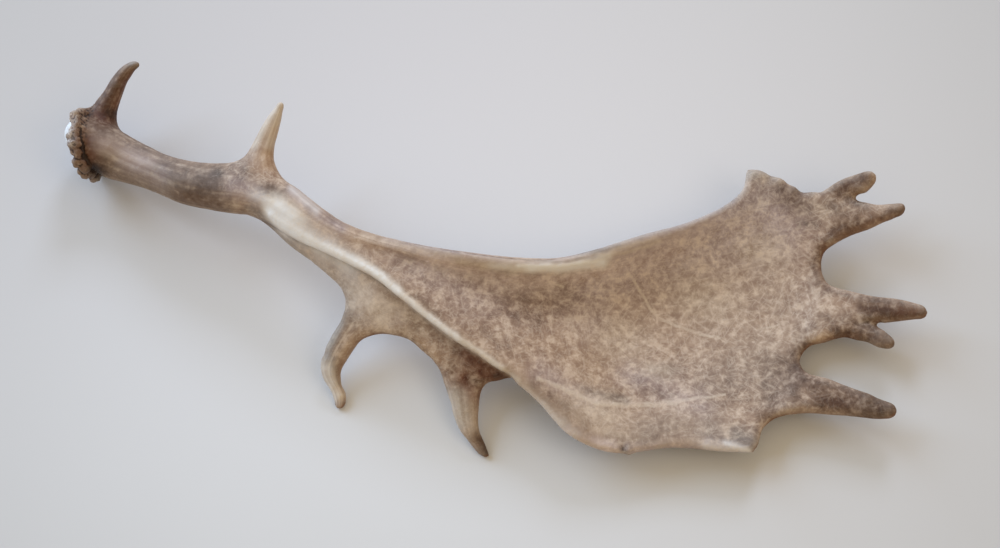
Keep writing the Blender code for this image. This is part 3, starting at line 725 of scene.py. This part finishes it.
# Tints that the finish lays over the washes.
SHADE = (150, 118, 95)
PALE = (232, 216, 198)
FIBRE = (230, 214, 198)
WORN = (226, 212, 194)
CRUST = (118, 90, 72)
CREVICE = (74, 42, 28)
# Grime with painted shade, laid in nooks, hollows and the burr's crevices.
DIRT_AND_SHADE = (46, 28, 20)
# Brown of the stain and painted shade on edges turned away from the window.
STAIN_AND_SHADE = (112, 72, 44)
SEAL = (221, 223, 227)
# Strength and height in metres of the finest relief.
RELIEF = (0.45, 0.0008)

TABLE_HALF = 6
# The table's tints: far left and right, near left and right, its clouds, and away from the middle. They go
# over into each other from the far side to the near one, from left to right, and outwards, in metres. The
# sides and the darkening away from the middle are painted light falloff, lightest at the near left.
TABLE_SIDES_LIGHT = (((207, 205, 211), (215, 213, 216)), ((222, 226, 233), (217, 217, 220)))
TABLE_CLOUD = (206, 207, 209)
TABLE_AWAY_SHADE = (184, 184, 186)
FAR_TO_NEAR = (0.24, -0.24)
LEFT_TO_RIGHT = (-0.4, 0.4)
OUTWARDS = (0.05, 0.62)
# A light is (name, place, side, power, colour), and faces the origin.
LIGHTS = (
    ("window", (-4.454, 3.12, 2.536), 4.8, 420, (0.534, 0.742, 1.0)),
    ("back window", (0.884, 5.012, 3.18), 1.8, 132, (0.67, 0.79, 1.0)),
    ("lamp", (3.476, -2.008, 4.458), 3.2, 44, (1.0, 0.91, 0.83)),
)
ROOM_COLOUR = (1.0, 0.81, 0.53)
ROOM_STRENGTH = 0.565


def unit(vector):
    """The vector at a length of one."""
    return np.asarray(vector) / np.linalg.norm(vector)


def place(spots):
    """Points in the part's frame, where the line from the eye through (across, up) is down at the height."""
    spots = np.asarray(spots, float)
    across, up, height = spots[..., 0], spots[..., 1], spots[..., 2]
    mark = np.array((0, 0, MARK_HEIGHT))
    eye = mark + EYE_DISTANCE * SIGHT
    aim = mark + np.stack((across, up * SIGHT[2], -up * SIGHT[1]), -1)
    share = (height - eye[2]) / (aim[..., 2] - eye[2])
    return (eye + share[..., None] * (aim - eye) + MARK_SHIFT) * MM


def seen(points):
    """Where the eye sees points of the part's frame: the same (across, up) that place starts from."""
    offset = points / MM - MARK_SHIFT - (0, 0, MARK_HEIGHT)
    upward = offset @ np.array((0, SIGHT[2], -SIGHT[1]))
    nearness = EYE_DISTANCE / (EYE_DISTANCE - offset @ SIGHT)
    return np.stack((offset[:, 0], upward), -1) * nearness[:, None]


def smooth(rows, steps):
    """The given rows of numbers with steps rows to each gap, on a cubic curve that passes through them."""
    rows = np.asarray(rows, float)
    slopes = np.gradient(rows, axis=0)
    t = np.linspace(0, 1, steps, endpoint=False)[None, :, None]
    start, end = rows[:-1, None], rows[1:, None]
    leaving, arriving = slopes[:-1, None], slopes[1:, None]
    curve = (
        (2 * t**3 - 3 * t**2 + 1) * start
        + (t**3 - 2 * t**2 + t) * leaving
        + (3 * t**2 - 2 * t**3) * end
        + (t**3 - t**2) * arriving
    )
    return np.concatenate((curve.reshape(-1, rows.shape[1]), rows[-1:]))


def along(points, shares):
    """Points at the given shares of the length of a path."""
    lengths = np.linalg.norm(np.diff(points, axis=0), axis=1)
    travelled = np.concatenate(([0], np.cumsum(lengths))) / lengths.sum()
    return np.stack([np.interp(shares, travelled, column) for column in points.T], -1)


def rounded(distance, radius):
    """Height of a quarter circle at a distance in from where it starts, as a share of its radius."""
    inside = np.clip(distance / radius, 0, 1)
    return np.sqrt(1 - (1 - inside) ** 2)


def loft(stations, crown=None):
    """Rings of points round a limb, from its root to its tip.

    A section runs from its front edge (s = 1) to its rear edge (s = -1). Its middle surface is the straight
    line between them, sunk along the sight by hollow * (1 - s * s) ** 1.5 * (1 + LEAN * s). With a crown the
    last sections bend forward by degrees until the last one lies on the crown. Half the thickness is laid
    off on each side along the surface's normal, and falls to nothing on a round at both edges and the end.
    """
    rows = smooth(stations, STEPS)
    front, rear = place(rows[:, 0:3]), place(rows[:, 3:6])
    thickness, hollow = rows[:, 6:9] * MM, rows[:, 9] * MM
    turn = np.linspace(0, math.pi, HALF_AROUND + 1)
    s = np.cos(turn)
    middle, half_chord = (front + rear) / 2, (front - rear) / 2
    sag = (1 - s * s) ** 1.5 * (1 + LEAN * s)
    sunk = hollow[:, None, None] * sag[None, :, None] * SIGHT
    surface = middle[:, None] + s[None, :, None] * half_chord[:, None] - sunk
    if crown is not None:
        rim = along(place(smooth(crown, STEPS)), (1 - s) / 2)
        bend = np.clip((np.linspace(0, 1, len(rows)) - CROWN_START) / (1 - CROWN_START), 0, 1) ** 2
        surface = surface + bend[:, None, None] * (rim - surface[-1])
    normal = np.cross(np.gradient(surface, axis=0), np.gradient(surface, axis=1))
    normal /= np.linalg.norm(normal, axis=-1, keepdims=True)
    normal *= np.where((normal @ SIGHT).sum(axis=1) < 0, -1, 1)[:, None, None]
    depth = (
        thickness[:, 0, None] * s * (s + 1) / 2
        + thickness[:, 1, None] * (1 - s * s)
        + thickness[:, 2, None] * s * (s - 1) / 2
    ) / 2
    reach = np.linalg.norm(half_chord, axis=1)[:, None]
    edge = np.minimum(reach, depth * EDGE_SOFTNESS)
    depth_here = depth * rounded(reach * (1 - np.abs(s)), edge)
    strides = np.linalg.norm(np.diff(surface[:, HALF_AROUND // 2], axis=0), axis=1)
    to_end = np.concatenate((np.cumsum(strides[::-1])[::-1], [0]))[:, None]
    if crown is None:
        end = rounded(to_end, np.minimum(reach, END_REACH * MM))
        surface = middle[:, None] + (surface - middle[:, None]) * np.maximum(end, LEAST)[:, :, None]
        depth_here = depth_here * np.maximum(end, LEAST)
    else:
        depth_here = depth_here * np.maximum(rounded(to_end, depth * EDGE_SOFTNESS), LEAST)
    upper = surface + normal * depth_here[..., None]
    lower = surface - normal * depth_here[..., None]
    return np.concatenate((upper, lower[:, -2:0:-1]), axis=1)


def tube(rings):
    """Vertices and faces of rings of points, each joined to the next, with a face over both ends."""
    count, around = rings.shape[:2]
    index = np.arange(count * around).reshape(count, around)
    beside = np.roll(index, -1, axis=1)
    sides = np.stack((index[:-1], beside[:-1], beside[1:], index[1:]), -1).reshape(-1, 4)
    return rings.reshape(-1, 3), sides.tolist() + [index[0, ::-1].tolist(), index[-1].tolist()]


def straight_row(stations):
    """Stations of a tine or web in the form that loft reads: one thickness throughout and no hollow."""
    return [(*front, *rear, thickness, thickness, thickness, 0) for front, rear, thickness in stations]


def broad_row(stations):
    """Stations of the beam and palm in the form that loft reads."""
    return [(*front, *rear, *thickness, hollow) for front, rear, thickness, hollow in stations]


def turned(profile, centre, axis, around):
    """Rings of a profile of (distance along the axis, radius), turned about the axis through the centre."""
    axis = unit(axis)
    side = unit(np.cross(axis, np.eye(3)[np.argmin(np.abs(axis))]))
    other = np.cross(axis, side)
    angle = np.linspace(0, math.tau, around, endpoint=False)
    circle = np.cos(angle)[:, None] * side + np.sin(angle)[:, None] * other
    profile = np.asarray(profile)
    return centre + profile[:, 0, None, None] * axis + profile[:, 1, None, None] * circle


def ball(centre, radius):
    """Rings of a sphere: height radius * -cos(t) and width radius * sin(t) for t from 0 to half a turn."""
    t = np.linspace(POLE_GAP, math.pi - POLE_GAP, PEARL_STEPS)
    return turned(np.stack((-np.cos(t), np.sin(t)), -1) * radius, centre, (0, 0, 1), PEARL_SIDES)


def burr():
    """The ring, the cone, the seal and the pearls, each as rings of points.

    The seal has height -SEAL_BULGE * cos(t) and width SEAL_RADIUS * sin(t) for t from 0 to a quarter turn.
    """
    chance = np.random.default_rng(SEED)
    centre = place(BURR_CENTRE)
    axis = unit(BURR_AXIS)
    half = BURR_WIDTH / 2
    ring = [(-half, CORE_RADIUS), (-half, BURR_RADIUS), (half, BURR_RADIUS), (half, CORE_RADIUS)]
    wide, narrow = FLARE_RADII
    flare = [(0, CORE_RADIUS), (0, wide), (FLARE_LENGTH, narrow), (FLARE_LENGTH, CORE_RADIUS)]
    t = np.linspace(POLE_GAP, math.pi / 2, SEAL_STEPS)
    seal = np.stack((-SEAL_BULGE * np.cos(t), SEAL_RADIUS * np.sin(t)), -1)
    bodies = [turned(np.array(profile) * MM, centre, axis, BURR_SIDES) for profile in (ring, flare)]
    bodies.append(turned(seal * MM, place(SEAL_CENTRE), axis, BURR_SIDES))
    pearls = [(math.radians(degrees), 0, shift, radius) for degrees, shift, radius in LARGE_PEARLS]
    for row_shift, count, row_radius in PEARL_ROWS:
        for number in range(count):
            angle = math.tau * (number + chance.uniform(-PEARL_TURN, PEARL_TURN)) / count
            lift = chance.uniform(-PEARL_SPREAD, PEARL_SPREAD)
            shift = row_shift + chance.uniform(-PEARL_SPREAD, PEARL_SPREAD)
            pearls.append((angle, lift, shift, row_radius * chance.uniform(*PEARL_SIZES)))
    top = unit(np.cross(axis, (0, 1, 0)))
    rearward = np.cross(axis, top)
    for angle, lift, shift, radius in pearls:
        outward = math.cos(angle) * top + math.sin(angle) * rearward
        spot = centre + (outward * (BURR_RADIUS + PEARL_STANDING * radius + lift) + axis * shift) * MM
        bodies.append(ball(spot, radius * MM))
    return bodies


def joined(parts):
    """Vertices and faces of several bodies as one list of each."""
    vertices, faces, start = [], [], 0
    for body_vertices, body_faces in parts:
        vertices.append(body_vertices)
        faces += [[start + corner for corner in face] for face in body_faces]
        start += len(body_vertices)
    return np.concatenate(vertices), faces


def add_object(name, vertices, faces):
    """An object in the scene with a mesh of these vertices and faces."""
    mesh = bpy.data.meshes.new(name)
    mesh.from_pydata(np.asarray(vertices).tolist(), [], faces)
    obj = bpy.data.objects.new(name, mesh)
    bpy.context.collection.objects.link(obj)
    return obj


def apply_modifiers(obj):
    """Puts the mesh that the object's modifiers make in place of its own."""
    graph = bpy.context.evaluated_depsgraph_get()
    mesh = bpy.data.meshes.new_from_object(obj.evaluated_get(graph))
    obj.modifiers.clear()
    obj.data = mesh


def read(mesh, items, key, width, kind=np.float32):
    """One value of every item of a mesh as an array."""
    values = np.empty(len(items) * width, kind)
    items.foreach_get(key, values)
    return values.reshape(-1, width) if width > 1 else values


class Web:
    """The edges of a mesh, for taking the average of each vertex's neighbours."""

    def __init__(self, mesh):
        self.edges = read(mesh, mesh.edges, "vertices", 2, np.int32)
        self.count = len(mesh.vertices)
        self.degree = np.bincount(self.edges.ravel(), minlength=self.count)

    def average(self, values, edges=None):
        first, second = (self.edges if edges is None else edges).T
        columns = []
        for column in values.T:
            total = np.bincount(first, column[second], self.count)
            columns.append(total + np.bincount(second, column[first], self.count))
        return np.stack(columns, -1) / self.degree[:, None]

    def smoothed(self, values, rounds, factors=SMOOTH_FACTORS, share=None):
        """Values moved by each factor in turn towards their neighbours' average, by a share at each vertex.

        A factor above nothing followed by one below it flattens the surface and keeps its volume.
        """
        share = np.ones(self.count) if share is None else np.where(share > SMALL_SHARE, share, 0)
        edges = self.edges[(share[self.edges] > 0).any(axis=1)]
        for factor in factors * rounds:
            values = values + factor * share[:, None] * (self.average(values, edges) - values)
        return values


def write(mesh, name, values):
    """Values of every vertex as a named attribute of the mesh, numbers or vectors."""
    kind, key = ("FLOAT", "value") if values.ndim == 1 else ("FLOAT_VECTOR", "vector")
    layer = mesh.attributes.new(name, kind, "POINT")
    layer.data.foreach_set(key, values.astype(np.float32).ravel())


def move(mesh, points):
    """Puts the vertices at points given in millimetres, and gives the normals there."""
    mesh.vertices.foreach_set("co", (points * MM).astype(np.float32).ravel())
    mesh.update()
    return read(mesh, mesh.vertex_normals, "vector", 3)


def step(values, low, high):
    """From 0 at low to 1 at high on the curve t * t * (3 - 2 * t)."""
    t = np.clip((values - low) / (high - low), 0, 1)
    return t * t * (3 - 2 * t)


def noise(points, size, seed, layers=1):
    """Smooth chance values from -1 to 1.

    Each layer blends the chance values at the eight corners of the cube around a point along each edge, by
    t * t * (3 - 2 * t). Every next layer has half the size and half the weight of the one before.
    """
    lattice = np.random.default_rng(seed).uniform(-1, 1, (LATTICE, LATTICE, LATTICE))
    total, whole = 0, 0
    for layer in range(layers):
        spot = points * 2**layer / size
        cell = np.floor(spot).astype(int)
        t = step(spot - cell, 0, 1)
        weight = 0.5**layer
        whole += weight
        for corner in np.ndindex(2, 2, 2):
            share = np.where(corner, t, 1 - t).prod(axis=1)
            total = total + weight * share * lattice[tuple(((cell + corner) % LATTICE).T)]
    return total / whole


def beside(spots, path):
    """Distance of places (across, up) from a path of straight lines."""
    path = np.asarray(path, float)
    if len(path) == 1:
        return np.linalg.norm(spots - path[0], axis=1)
    nearest = np.full(len(spots), np.inf)
    for start, end in zip(path[:-1], path[1:]):
        stride = end - start
        share = np.clip((spots - start) @ stride / (stride @ stride), 0, 1)
        nearest = np.minimum(nearest, np.linalg.norm(spots - start - share[:, None] * stride, axis=1))
    return nearest


def wash(spots, strokes):
    """How strongly strokes cover places: 1 - product of (1 - strength * exp(-(distance / width) ** 2))."""
    bare = np.ones(len(spots))
    for strength, width, *path in strokes:
        bare *= 1 - strength * np.exp(-((beside(spots, path) / width) ** 2))
    return 1 - bare


def grain(points, rings):
    """How far points lie off a limb, and (along, cosine, sine) of where they lie on it.

    The nearest of a thinned set of the limb's own points is moved along its two tangents until the gap to
    the point is square to them: the two steps solve the normal equations of the tangents. Along is the
    distance along the middles of the rings, and the angle turns once around a ring.
    """
    count, around = rings.shape[:2]
    rings = rings / MM
    lengthwise = np.gradient(rings, axis=0)
    crosswise = (np.roll(rings, -1, axis=1) - np.roll(rings, 1, axis=1)) / 2
    looked_at = np.arange(1, count - 1, GRAIN_ROWS), np.arange(0, around, GRAIN_COLUMNS)
    rows, columns = (grid.ravel() for grid in np.meshgrid(*looked_at, indexing="ij"))
    spots, t, c = (grid[rows, columns] for grid in (rings, lengthwise, crosswise))
    nearest = np.empty(len(points), int)
    for start in range(0, len(points), GRAIN_BATCH):
        batch = points[start:start + GRAIN_BATCH]
        nearest[start:start + GRAIN_BATCH] = ((spots**2).sum(axis=1) - 2 * batch @ spots.T).argmin(axis=1)
    t, c = t[nearest], c[nearest]
    gap = points - spots[nearest]
    tt, cc, tc = (t * t).sum(-1), (c * c).sum(-1), (t * c).sum(-1)
    gt, gc = (gap * t).sum(-1), (gap * c).sum(-1)
    whole = tt * cc - tc * tc + LEAST**4
    row_step = np.clip((gt * cc - gc * tc) / whole, -GRAIN_ROWS, GRAIN_ROWS)
    column_step = np.clip((gc * tt - gt * tc) / whole, -GRAIN_COLUMNS, GRAIN_COLUMNS)
    off = np.linalg.norm(gap - row_step[:, None] * t - column_step[:, None] * c, axis=1)
    middles = rings.mean(axis=1)
    travelled = np.concatenate(([0], np.cumsum(np.linalg.norm(np.diff(middles, axis=0), axis=1))))
    length = np.interp(rows[nearest] + row_step, np.arange(count), travelled)
    turn = (columns[nearest] + column_step) / around * math.tau
    return off, np.stack((length, np.cos(turn), np.sin(turn)), -1)


def flow_of(points, limbs):
    """Coordinates that follow the nearest limb, and how surely the point lies on that one limb.

    The coordinates are (along, GRAIN_RADIUS * cosine, GRAIN_RADIUS * sine), so that a pattern drawn out in
    the first of them runs along the limb. Where two limbs are equally near, the sureness is nothing.
    """
    first = np.full(len(points), np.inf)
    second = first.copy()
    flow = np.zeros((len(points), 3))
    for number, rings in enumerate(limbs):
        corners = rings.reshape(-1, 3)
        low = corners.min(axis=0) / MM - GRAIN_MARGIN
        high = corners.max(axis=0) / MM + GRAIN_MARGIN
        near = np.flatnonzero(((points > low) & (points < high)).all(axis=1))
        off, where = grain(points[near], rings)
        where = where * (1, GRAIN_RADIUS, GRAIN_RADIUS) + (GRAIN_SHIFT * number, 0, 0)
        closer = off < first[near]
        second[near] = np.where(closer, first[near], np.minimum(second[near], off))
        flow[near[closer]] = where[closer]
        first[near[closer]] = off[closer]
    return flow, step(second - first, 0, SEAM_REACH)


def union(bodies):
    """One object whose mesh is the union of bodies of rings, as quads on a grid of voxels."""
    obj = add_object("antler", *joined([tube(rings) for rings in bodies]))
    remesh = obj.modifiers.new("Union", "REMESH")
    remesh.mode = "VOXEL"
    remesh.voxel_size = VOXEL * MM
    apply_modifiers(obj)
    return obj


def antler():
    """The whole antler as one skin.

    The union of the limbs is smoothed, filled out at the forks, and raised or sunk along its normals by
    grooves along the limbs, furrows, lumps and unevenness. Attributes say where each tint lies, how the
    limbs run and how hollow the surface is: how far it lies below the average of its neighbours after
    some rounds of averaging. Last it is thinned.
    """
    limbs = [loft(broad_row(BEAM_AND_PALM), CROWN)]
    limbs += [loft(straight_row(stations)) for stations in LIMBS]
    obj = union(limbs + burr())
    mesh = obj.data
    web = Web(mesh)
    points = web.smoothed(read(mesh, mesh.vertices, "co", 3).astype(float) / MM, SMOOTH_ROUNDS)
    spots = seen(points * MM)
    points = web.smoothed(points, FORK_ROUNDS, FORK_FACTORS, wash(spots, FORKS))
    normals = move(mesh, points)

    flow, sure = flow_of(points, limbs)
    spots = seen(points * MM)
    axis = unit(BURR_AXIS)
    from_ring = points - place(BURR_CENTRE) / MM
    near_ring = np.linalg.norm(from_ring, axis=1) < 2 * BURR_RADIUS
    on_burr = step(np.abs(from_ring @ axis), *BURR_REACH) * near_ring
    streaky = wash(spots, STREAKS) * sure * (1 - on_burr)
    rise = GROOVES * streaky * noise(flow * (1 / GROOVE_STRETCH, 1, 1), GROOVE_WIDTH, SEED, 3)
    swells = SWELL * noise(points, SWELL_WIDTH, SEED + 1, 2)
    rise += swells + UNEVEN * noise(points, UNEVEN_WIDTH, SEED + 2, 2)
    rise += BURR_UNEVEN * on_burr * noise(points, BURR_UNEVEN_WIDTH, SEED + 6, 2)
    top = step(normals @ SIGHT, *SIDE_SEEN)
    for depth, width, *path in FURROWS:
        rise -= depth * np.exp(-((beside(spots, path) / width) ** 2)) * top
    for height, radius, spot in LUMPS:
        rise += height * np.exp(-((beside(spots, [spot]) / radius) ** 2))
    points = points + rise[:, None] * normals
    points[:, 2] = np.maximum(points[:, 2], FLOOR)
    normals = move(mesh, points)

    level = points
    for name, rounds in HOLLOW_ROUNDS.items():
        for _ in range(rounds):
            level = web.average(level)
        write(mesh, name, ((level - points) * normals).sum(axis=1))
    wander = np.stack([noise(points, WANDER_SIZE, SEED + 3 + side, 2) for side in range(2)], -1) * WANDER
    for name, strokes in WASHES.items():
        reach = 1 if name in ALL_ROUND else FAR_SHARE + (1 - FAR_SHARE) * top
        write(mesh, name, wash(spots + wander, strokes) * reach)
    write(mesh, "veins", wash(spots + wander, VEINS) * top)
    # Stain and painted shade on edges turned away from the window, along the strokes.
    write(mesh, "stained", step(normals @ unit(STAIN_AND_SHADE_WAY), *STAIN_AND_SHADE_FROM) * wash(spots, STAIN_AND_SHADE_STROKES))
    write(mesh, "flow", flow)
    write(mesh, "streaky", streaky)
    write(mesh, "lined", wash(spots, FINE_LINES))
    offset = points - place(SEAL_CENTRE) / MM
    radius = np.linalg.norm(offset - (offset @ axis)[:, None] * axis, axis=1)
    write(mesh, "seal", step(offset @ axis, *SEAL_FROM) * step(radius - SEAL_RADIUS, *SEAL_RIM))
    write(mesh, "on_burr", on_burr)

    thinning = obj.modifiers.new("Thin", "DECIMATE")
    thinning.use_collapse_triangulate = True
    thinning.ratio = TRIANGLE_LIMIT / (2 * len(mesh.polygons))
    apply_modifiers(obj)
    obj.data.shade_smooth()
    return obj


class Signal:
    """An output of a node. Sums, differences and products of signals add Math nodes."""

    def __init__(self, finish, socket):
        self.finish, self.socket = finish, socket

    def math(self, operation, *values):
        return self.finish.node("ShaderNodeMath", {"operation": operation}, dict(enumerate(values)))

    def __add__(self, other):
        return self.math("ADD", self, other)

    def __sub__(self, other):
        return self.math("SUBTRACT", self, other)

    def __rsub__(self, other):
        return self.math("SUBTRACT", other, self)

    def __mul__(self, other):
        return self.math("MULTIPLY", self, other)

    __radd__ = __add__
    __rmul__ = __mul__

    def limited(self):
        """The value kept between 0 and 1."""
        return self.finish.node("ShaderNodeClamp", {}, {"Value": self})

    def step(self, low, high):
        """From 0 where the value is low to 1 where it is high, on a soft curve."""
        ends = {"Value": self, "From Min": low, "From Max": high}
        return self.finish.node("ShaderNodeMapRange", {"interpolation_type": "SMOOTHSTEP"}, ends)


class Finish:
    """The material of one surface, built from its nodes, and its colour so far."""

    def __init__(self, name):
        self.material = bpy.data.materials.new(name)
        self.material.use_nodes = True
        self.tree = self.material.node_tree
        self.shader = self.tree.nodes["Principled BSDF"]
        self.colour = None

    def node(self, kind, settings, inputs, output=0):
        """The output of a new node, with its settings made first and then its sockets filled or linked."""
        node = self.tree.nodes.new(kind)
        for key, value in settings.items():
            setattr(node, key, value)
        for key, value in inputs.items():
            self.fill(node.inputs[key], value)
        return Signal(self, node.outputs[output])

    def fill(self, socket, value):
        """Links a signal to a socket, or sets the socket's own value."""
        if isinstance(value, Signal):
            self.tree.links.new(value.socket, socket)
        else:
            socket.default_value = value

    def attribute(self, name, output="Fac"):
        return self.node("ShaderNodeAttribute", {"attribute_name": name}, {}, output)

    def noise(self, vector, size, detail=2.0, roughness=0.5, distortion=0.0):
        """Noise whose largest features are about size across, in the units of the vector."""
        sockets = {"Vector": vector, "Scale": 1 / size, "Detail": detail}
        sockets |= {"Roughness": roughness, "Distortion": distortion}
        return self.node("ShaderNodeTexNoise", {}, sockets)

    def stretched(self, vector, factors):
        return self.node("ShaderNodeVectorMath", {"operation": "MULTIPLY"}, {0: vector, 1: factors})

    def mix(self, first, second, factor, blend="MIX"):
        """A colour between two colours. The colours are the node's sockets 6 and 7, its output number 2."""
        sockets = {"Factor": factor, 6: first, 7: second}
        return self.node("ShaderNodeMix", {"data_type": "RGBA", "blend_type": blend}, sockets, 2)

    def lay(self, steps, cover, blend="MIX"):
        """Lays a tint over the colour so far."""
        self.colour = self.mix(self.colour, tint(*steps), cover, blend)

    def bump(self, height, strength, distance):
        sockets = {"Height": height, "Strength": strength, "Distance": distance}
        return self.node("ShaderNodeBump", {}, sockets)

    def set(self, **sockets):
        """Fills sockets of the surface shader, with names as in Base_Color."""
        for key, value in sockets.items():
            self.fill(self.shader.inputs[key.replace("_", " ")], value)


def tint(*steps):
    """A colour given in 8-bit steps, in linear light."""
    shares = np.array(steps) / 255
    return (*np.where(shares <= 0.04045, shares / 12.92, ((shares + 0.055) / 1.055) ** 2.4), 1)


def antler_finish():
    """Mottled antler.

    Tints lie over each other in washes with noisy edges. Over them come mottles of several sizes, which turn
    into streaks where the surface is grooved, a felt of short pale fibres, pale lines left by vessels, the
    crust of the burr, grime with painted shade in hollows, pale wear on what stands out, brown stains with
    painted shade on edges turned away from the window, and the seal.
    """
    paint = Finish("antler")
    body = paint.node("ShaderNodeTexCoord", {}, {}, "Object")
    flow = paint.attribute("flow", "Vector")
    names = "streaky lined stained seal on_burr nook hollow chalk"
    streaky, lined, stained, seal, on_burr, nook, hollow, chalk = map(paint.attribute, names.split())
    cloud, blotch, fine, grit = (paint.noise(body, *values) - 0.5 for values in MOTTLES)
    streak, thread, fan = (
        paint.noise(paint.stretched(flow, (kept, 1, 1)), *values) - 0.5 for kept, *values in DRAWN_OUT
    )

    edge = cloud * 1.5 + blotch * 0.9 + fine * 0.6
    paint.colour = tint(*BASE_TINT)
    for name, steps in TINTS.items():
        amount = paint.attribute(name)
        paint.lay(steps, (amount * (1 + edge * (1.6 - amount))).limited())

    fibres = 0
    for number, turn in enumerate(FIBRE_TURNS):
        seat = {"Vector": body, "Location": (0, 0, number * FIBRE_SHIFT)}
        seat |= {"Rotation": (0, 0, turn), "Scale": (FIBRE_LENGTH, 1, 1)}
        turned_body = paint.node("ShaderNodeMapping", {"vector_type": "TEXTURE"}, seat)
        fibres = paint.noise(turned_body, FIBRE_WIDTH, 1, 0.5, 0.4).step(0.55, 0.75) + fibres
    mottle = cloud * 1.0 + blotch * 1.5 + fine * 1.1 + grit * 0.2
    line = streak * 1.45 + thread * 0.15 + blotch * 0.45
    tone = mottle * (1 - streaky * 0.7) + line * streaky + fan * lined * 0.45
    dark = (paint.attribute("umber") + paint.attribute("rust") + paint.attribute("smoke") * 0.5).limited()
    clear = 1 - chalk * 0.75
    paint.lay(SHADE, tone.step(-0.4, 0.5) * clear * 0.58, "MULTIPLY")
    paint.lay(PALE, (0 - tone).step(0, 0.5) * (0.3 - dark * 0.16))
    felt = (fibres * (1 - streaky * 0.8) * (1 - on_burr)).limited()
    paint.lay(FIBRE, felt * (0.23 - dark * 0.17))

    broken = (0.7 + blotch * 3 + fine * 3).limited()
    vein = paint.attribute("veins").step(0.35, 0.9) * broken
    paint.lay(WORN, vein * 0.42)

    # Grime with painted shade: darker in nooks and hollows, and more so in the burr's crevices.
    dirt_and_shade = nook.step(0.01, 0.12) * 0.6 + hollow.step(0.15, 1.1) * 0.35 + nook.step(0, 0.06) * on_burr * 0.25
    wear = ((0 - nook).step(0.02, 0.14) * 0.4 + (0 - hollow).step(0.5, 1.8) * 0.2) * (1 - dark * 0.7)
    wear = wear * (0.55 + blotch * 2.5 + fine * 2.5).limited()
    crust = (fine * 3 + grit * 2 + 0.5).limited() * on_burr * (1 - paint.attribute("pitch"))
    paint.lay(CRUST, crust * (1 - chalk) * 0.8)
    paint.lay(CREVICE, (fine * 3 + grit * 4).step(0, 0.8) * on_burr * 0.55)
    paint.lay(DIRT_AND_SHADE, dirt_and_shade.limited() * clear * (0.4 + on_burr * 0.6))
    paint.lay(WORN, wear * 0.5)
    # Stain and painted shade on edges turned away from the window.
    paint.lay(STAIN_AND_SHADE, (stained * (0.85 + blotch + fine)).limited() * 0.8)
    paint.lay(SEAL, (seal * (1 - fine * 1.4 - grit * 0.8)).limited())

    height = line * streaky * 0.2 + fine * 0.4 + grit * (1 - streaky) * 0.25 + fibres * 0.1
    normal = paint.bump(height, *RELIEF)
    rough = 0.62 + fine * 0.2 - paint.attribute("cream") * 0.1 - wear * 0.1
    paint.set(Base_Color=paint.colour, Roughness=rough, Normal=normal, IOR=1.5, Specular_IOR_Level=0.4)
    return paint.material


def table_finish():
    """Matt, faintly cloudy table top, with painted light falloff to the right and away from the middle."""
    paint = Finish("table_top")
    body = paint.node("ShaderNodeTexCoord", {}, {}, "Object")
    near = paint.node("ShaderNodeSeparateXYZ", {}, {0: body}, 1).step(*FAR_TO_NEAR)
    right = paint.node("ShaderNodeSeparateXYZ", {}, {0: body}, 0).step(*LEFT_TO_RIGHT)
    away = paint.node("ShaderNodeVectorMath", {"operation": "LENGTH"}, {0: body}, 1)
    # The tints of the sides and the darkening away from the middle are painted light falloff.
    sides = [paint.mix(tint(*first), tint(*second), right) for first, second in TABLE_SIDES_LIGHT]
    paint.colour = paint.mix(*sides, near)
    paint.lay(TABLE_CLOUD, paint.noise(body, 0.35, 3, 0.5) * 0.3)
    paint.lay(TABLE_AWAY_SHADE, away.step(*OUTWARDS))
    paint.set(Base_Color=paint.colour, Roughness=0.6)
    return paint.material


def table():
    """The pale table top."""
    half = TABLE_HALF
    corners = [(-half, -half, 0), (half, -half, 0), (half, half, 0), (-half, half, 0)]
    obj = add_object("table_top", corners, [[0, 1, 2, 3]])
    obj.data.materials.append(table_finish())


def camera():
    """The photograph's view: down at the antler from the rear side."""
    data = bpy.data.cameras.new("camera")
    data.sensor_width = SENSOR
    data.lens = SENSOR * EYE_DISTANCE / SEEN_WIDTH
    obj = bpy.data.objects.new("camera", data)
    mark = np.array((0, 0, MARK_HEIGHT)) + MARK_SHIFT
    obj.location = (mark + EYE_DISTANCE * SIGHT) * MM
    obj.rotation_euler = (math.pi / 2 - SIGHT_ELEVATION, 0, 0)
    bpy.context.collection.objects.link(obj)
    bpy.context.scene.camera = obj


def light(name, back, size, power, colour):
    """A square soft light that stands this far back from the origin and faces it."""
    data = bpy.data.lights.new(name, "AREA")
    data.size = size
    data.energy = power
    data.color = colour
    obj = bpy.data.objects.new(name, data)
    obj.location = back
    obj.rotation_euler = Vector(back).to_track_quat("Z", "Y").to_euler()
    bpy.context.collection.objects.link(obj)


def studio():
    """Cool window light from behind, mostly from the left, a warm room and a lamp at the near right."""
    for row in LIGHTS:
        light(*row)
    world = bpy.data.worlds.new("room")
    world.use_nodes = True
    background = world.node_tree.nodes["Background"]
    background.inputs["Color"].default_value = (*ROOM_COLOUR, 1)
    background.inputs["Strength"].default_value = ROOM_STRENGTH
    bpy.context.scene.world = world


skin = antler()
skin.data.materials.append(antler_finish())
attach(skin, "root")
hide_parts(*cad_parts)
table()
camera()
studio()
bpy.context.scene.view_settings.view_transform = "Standard"
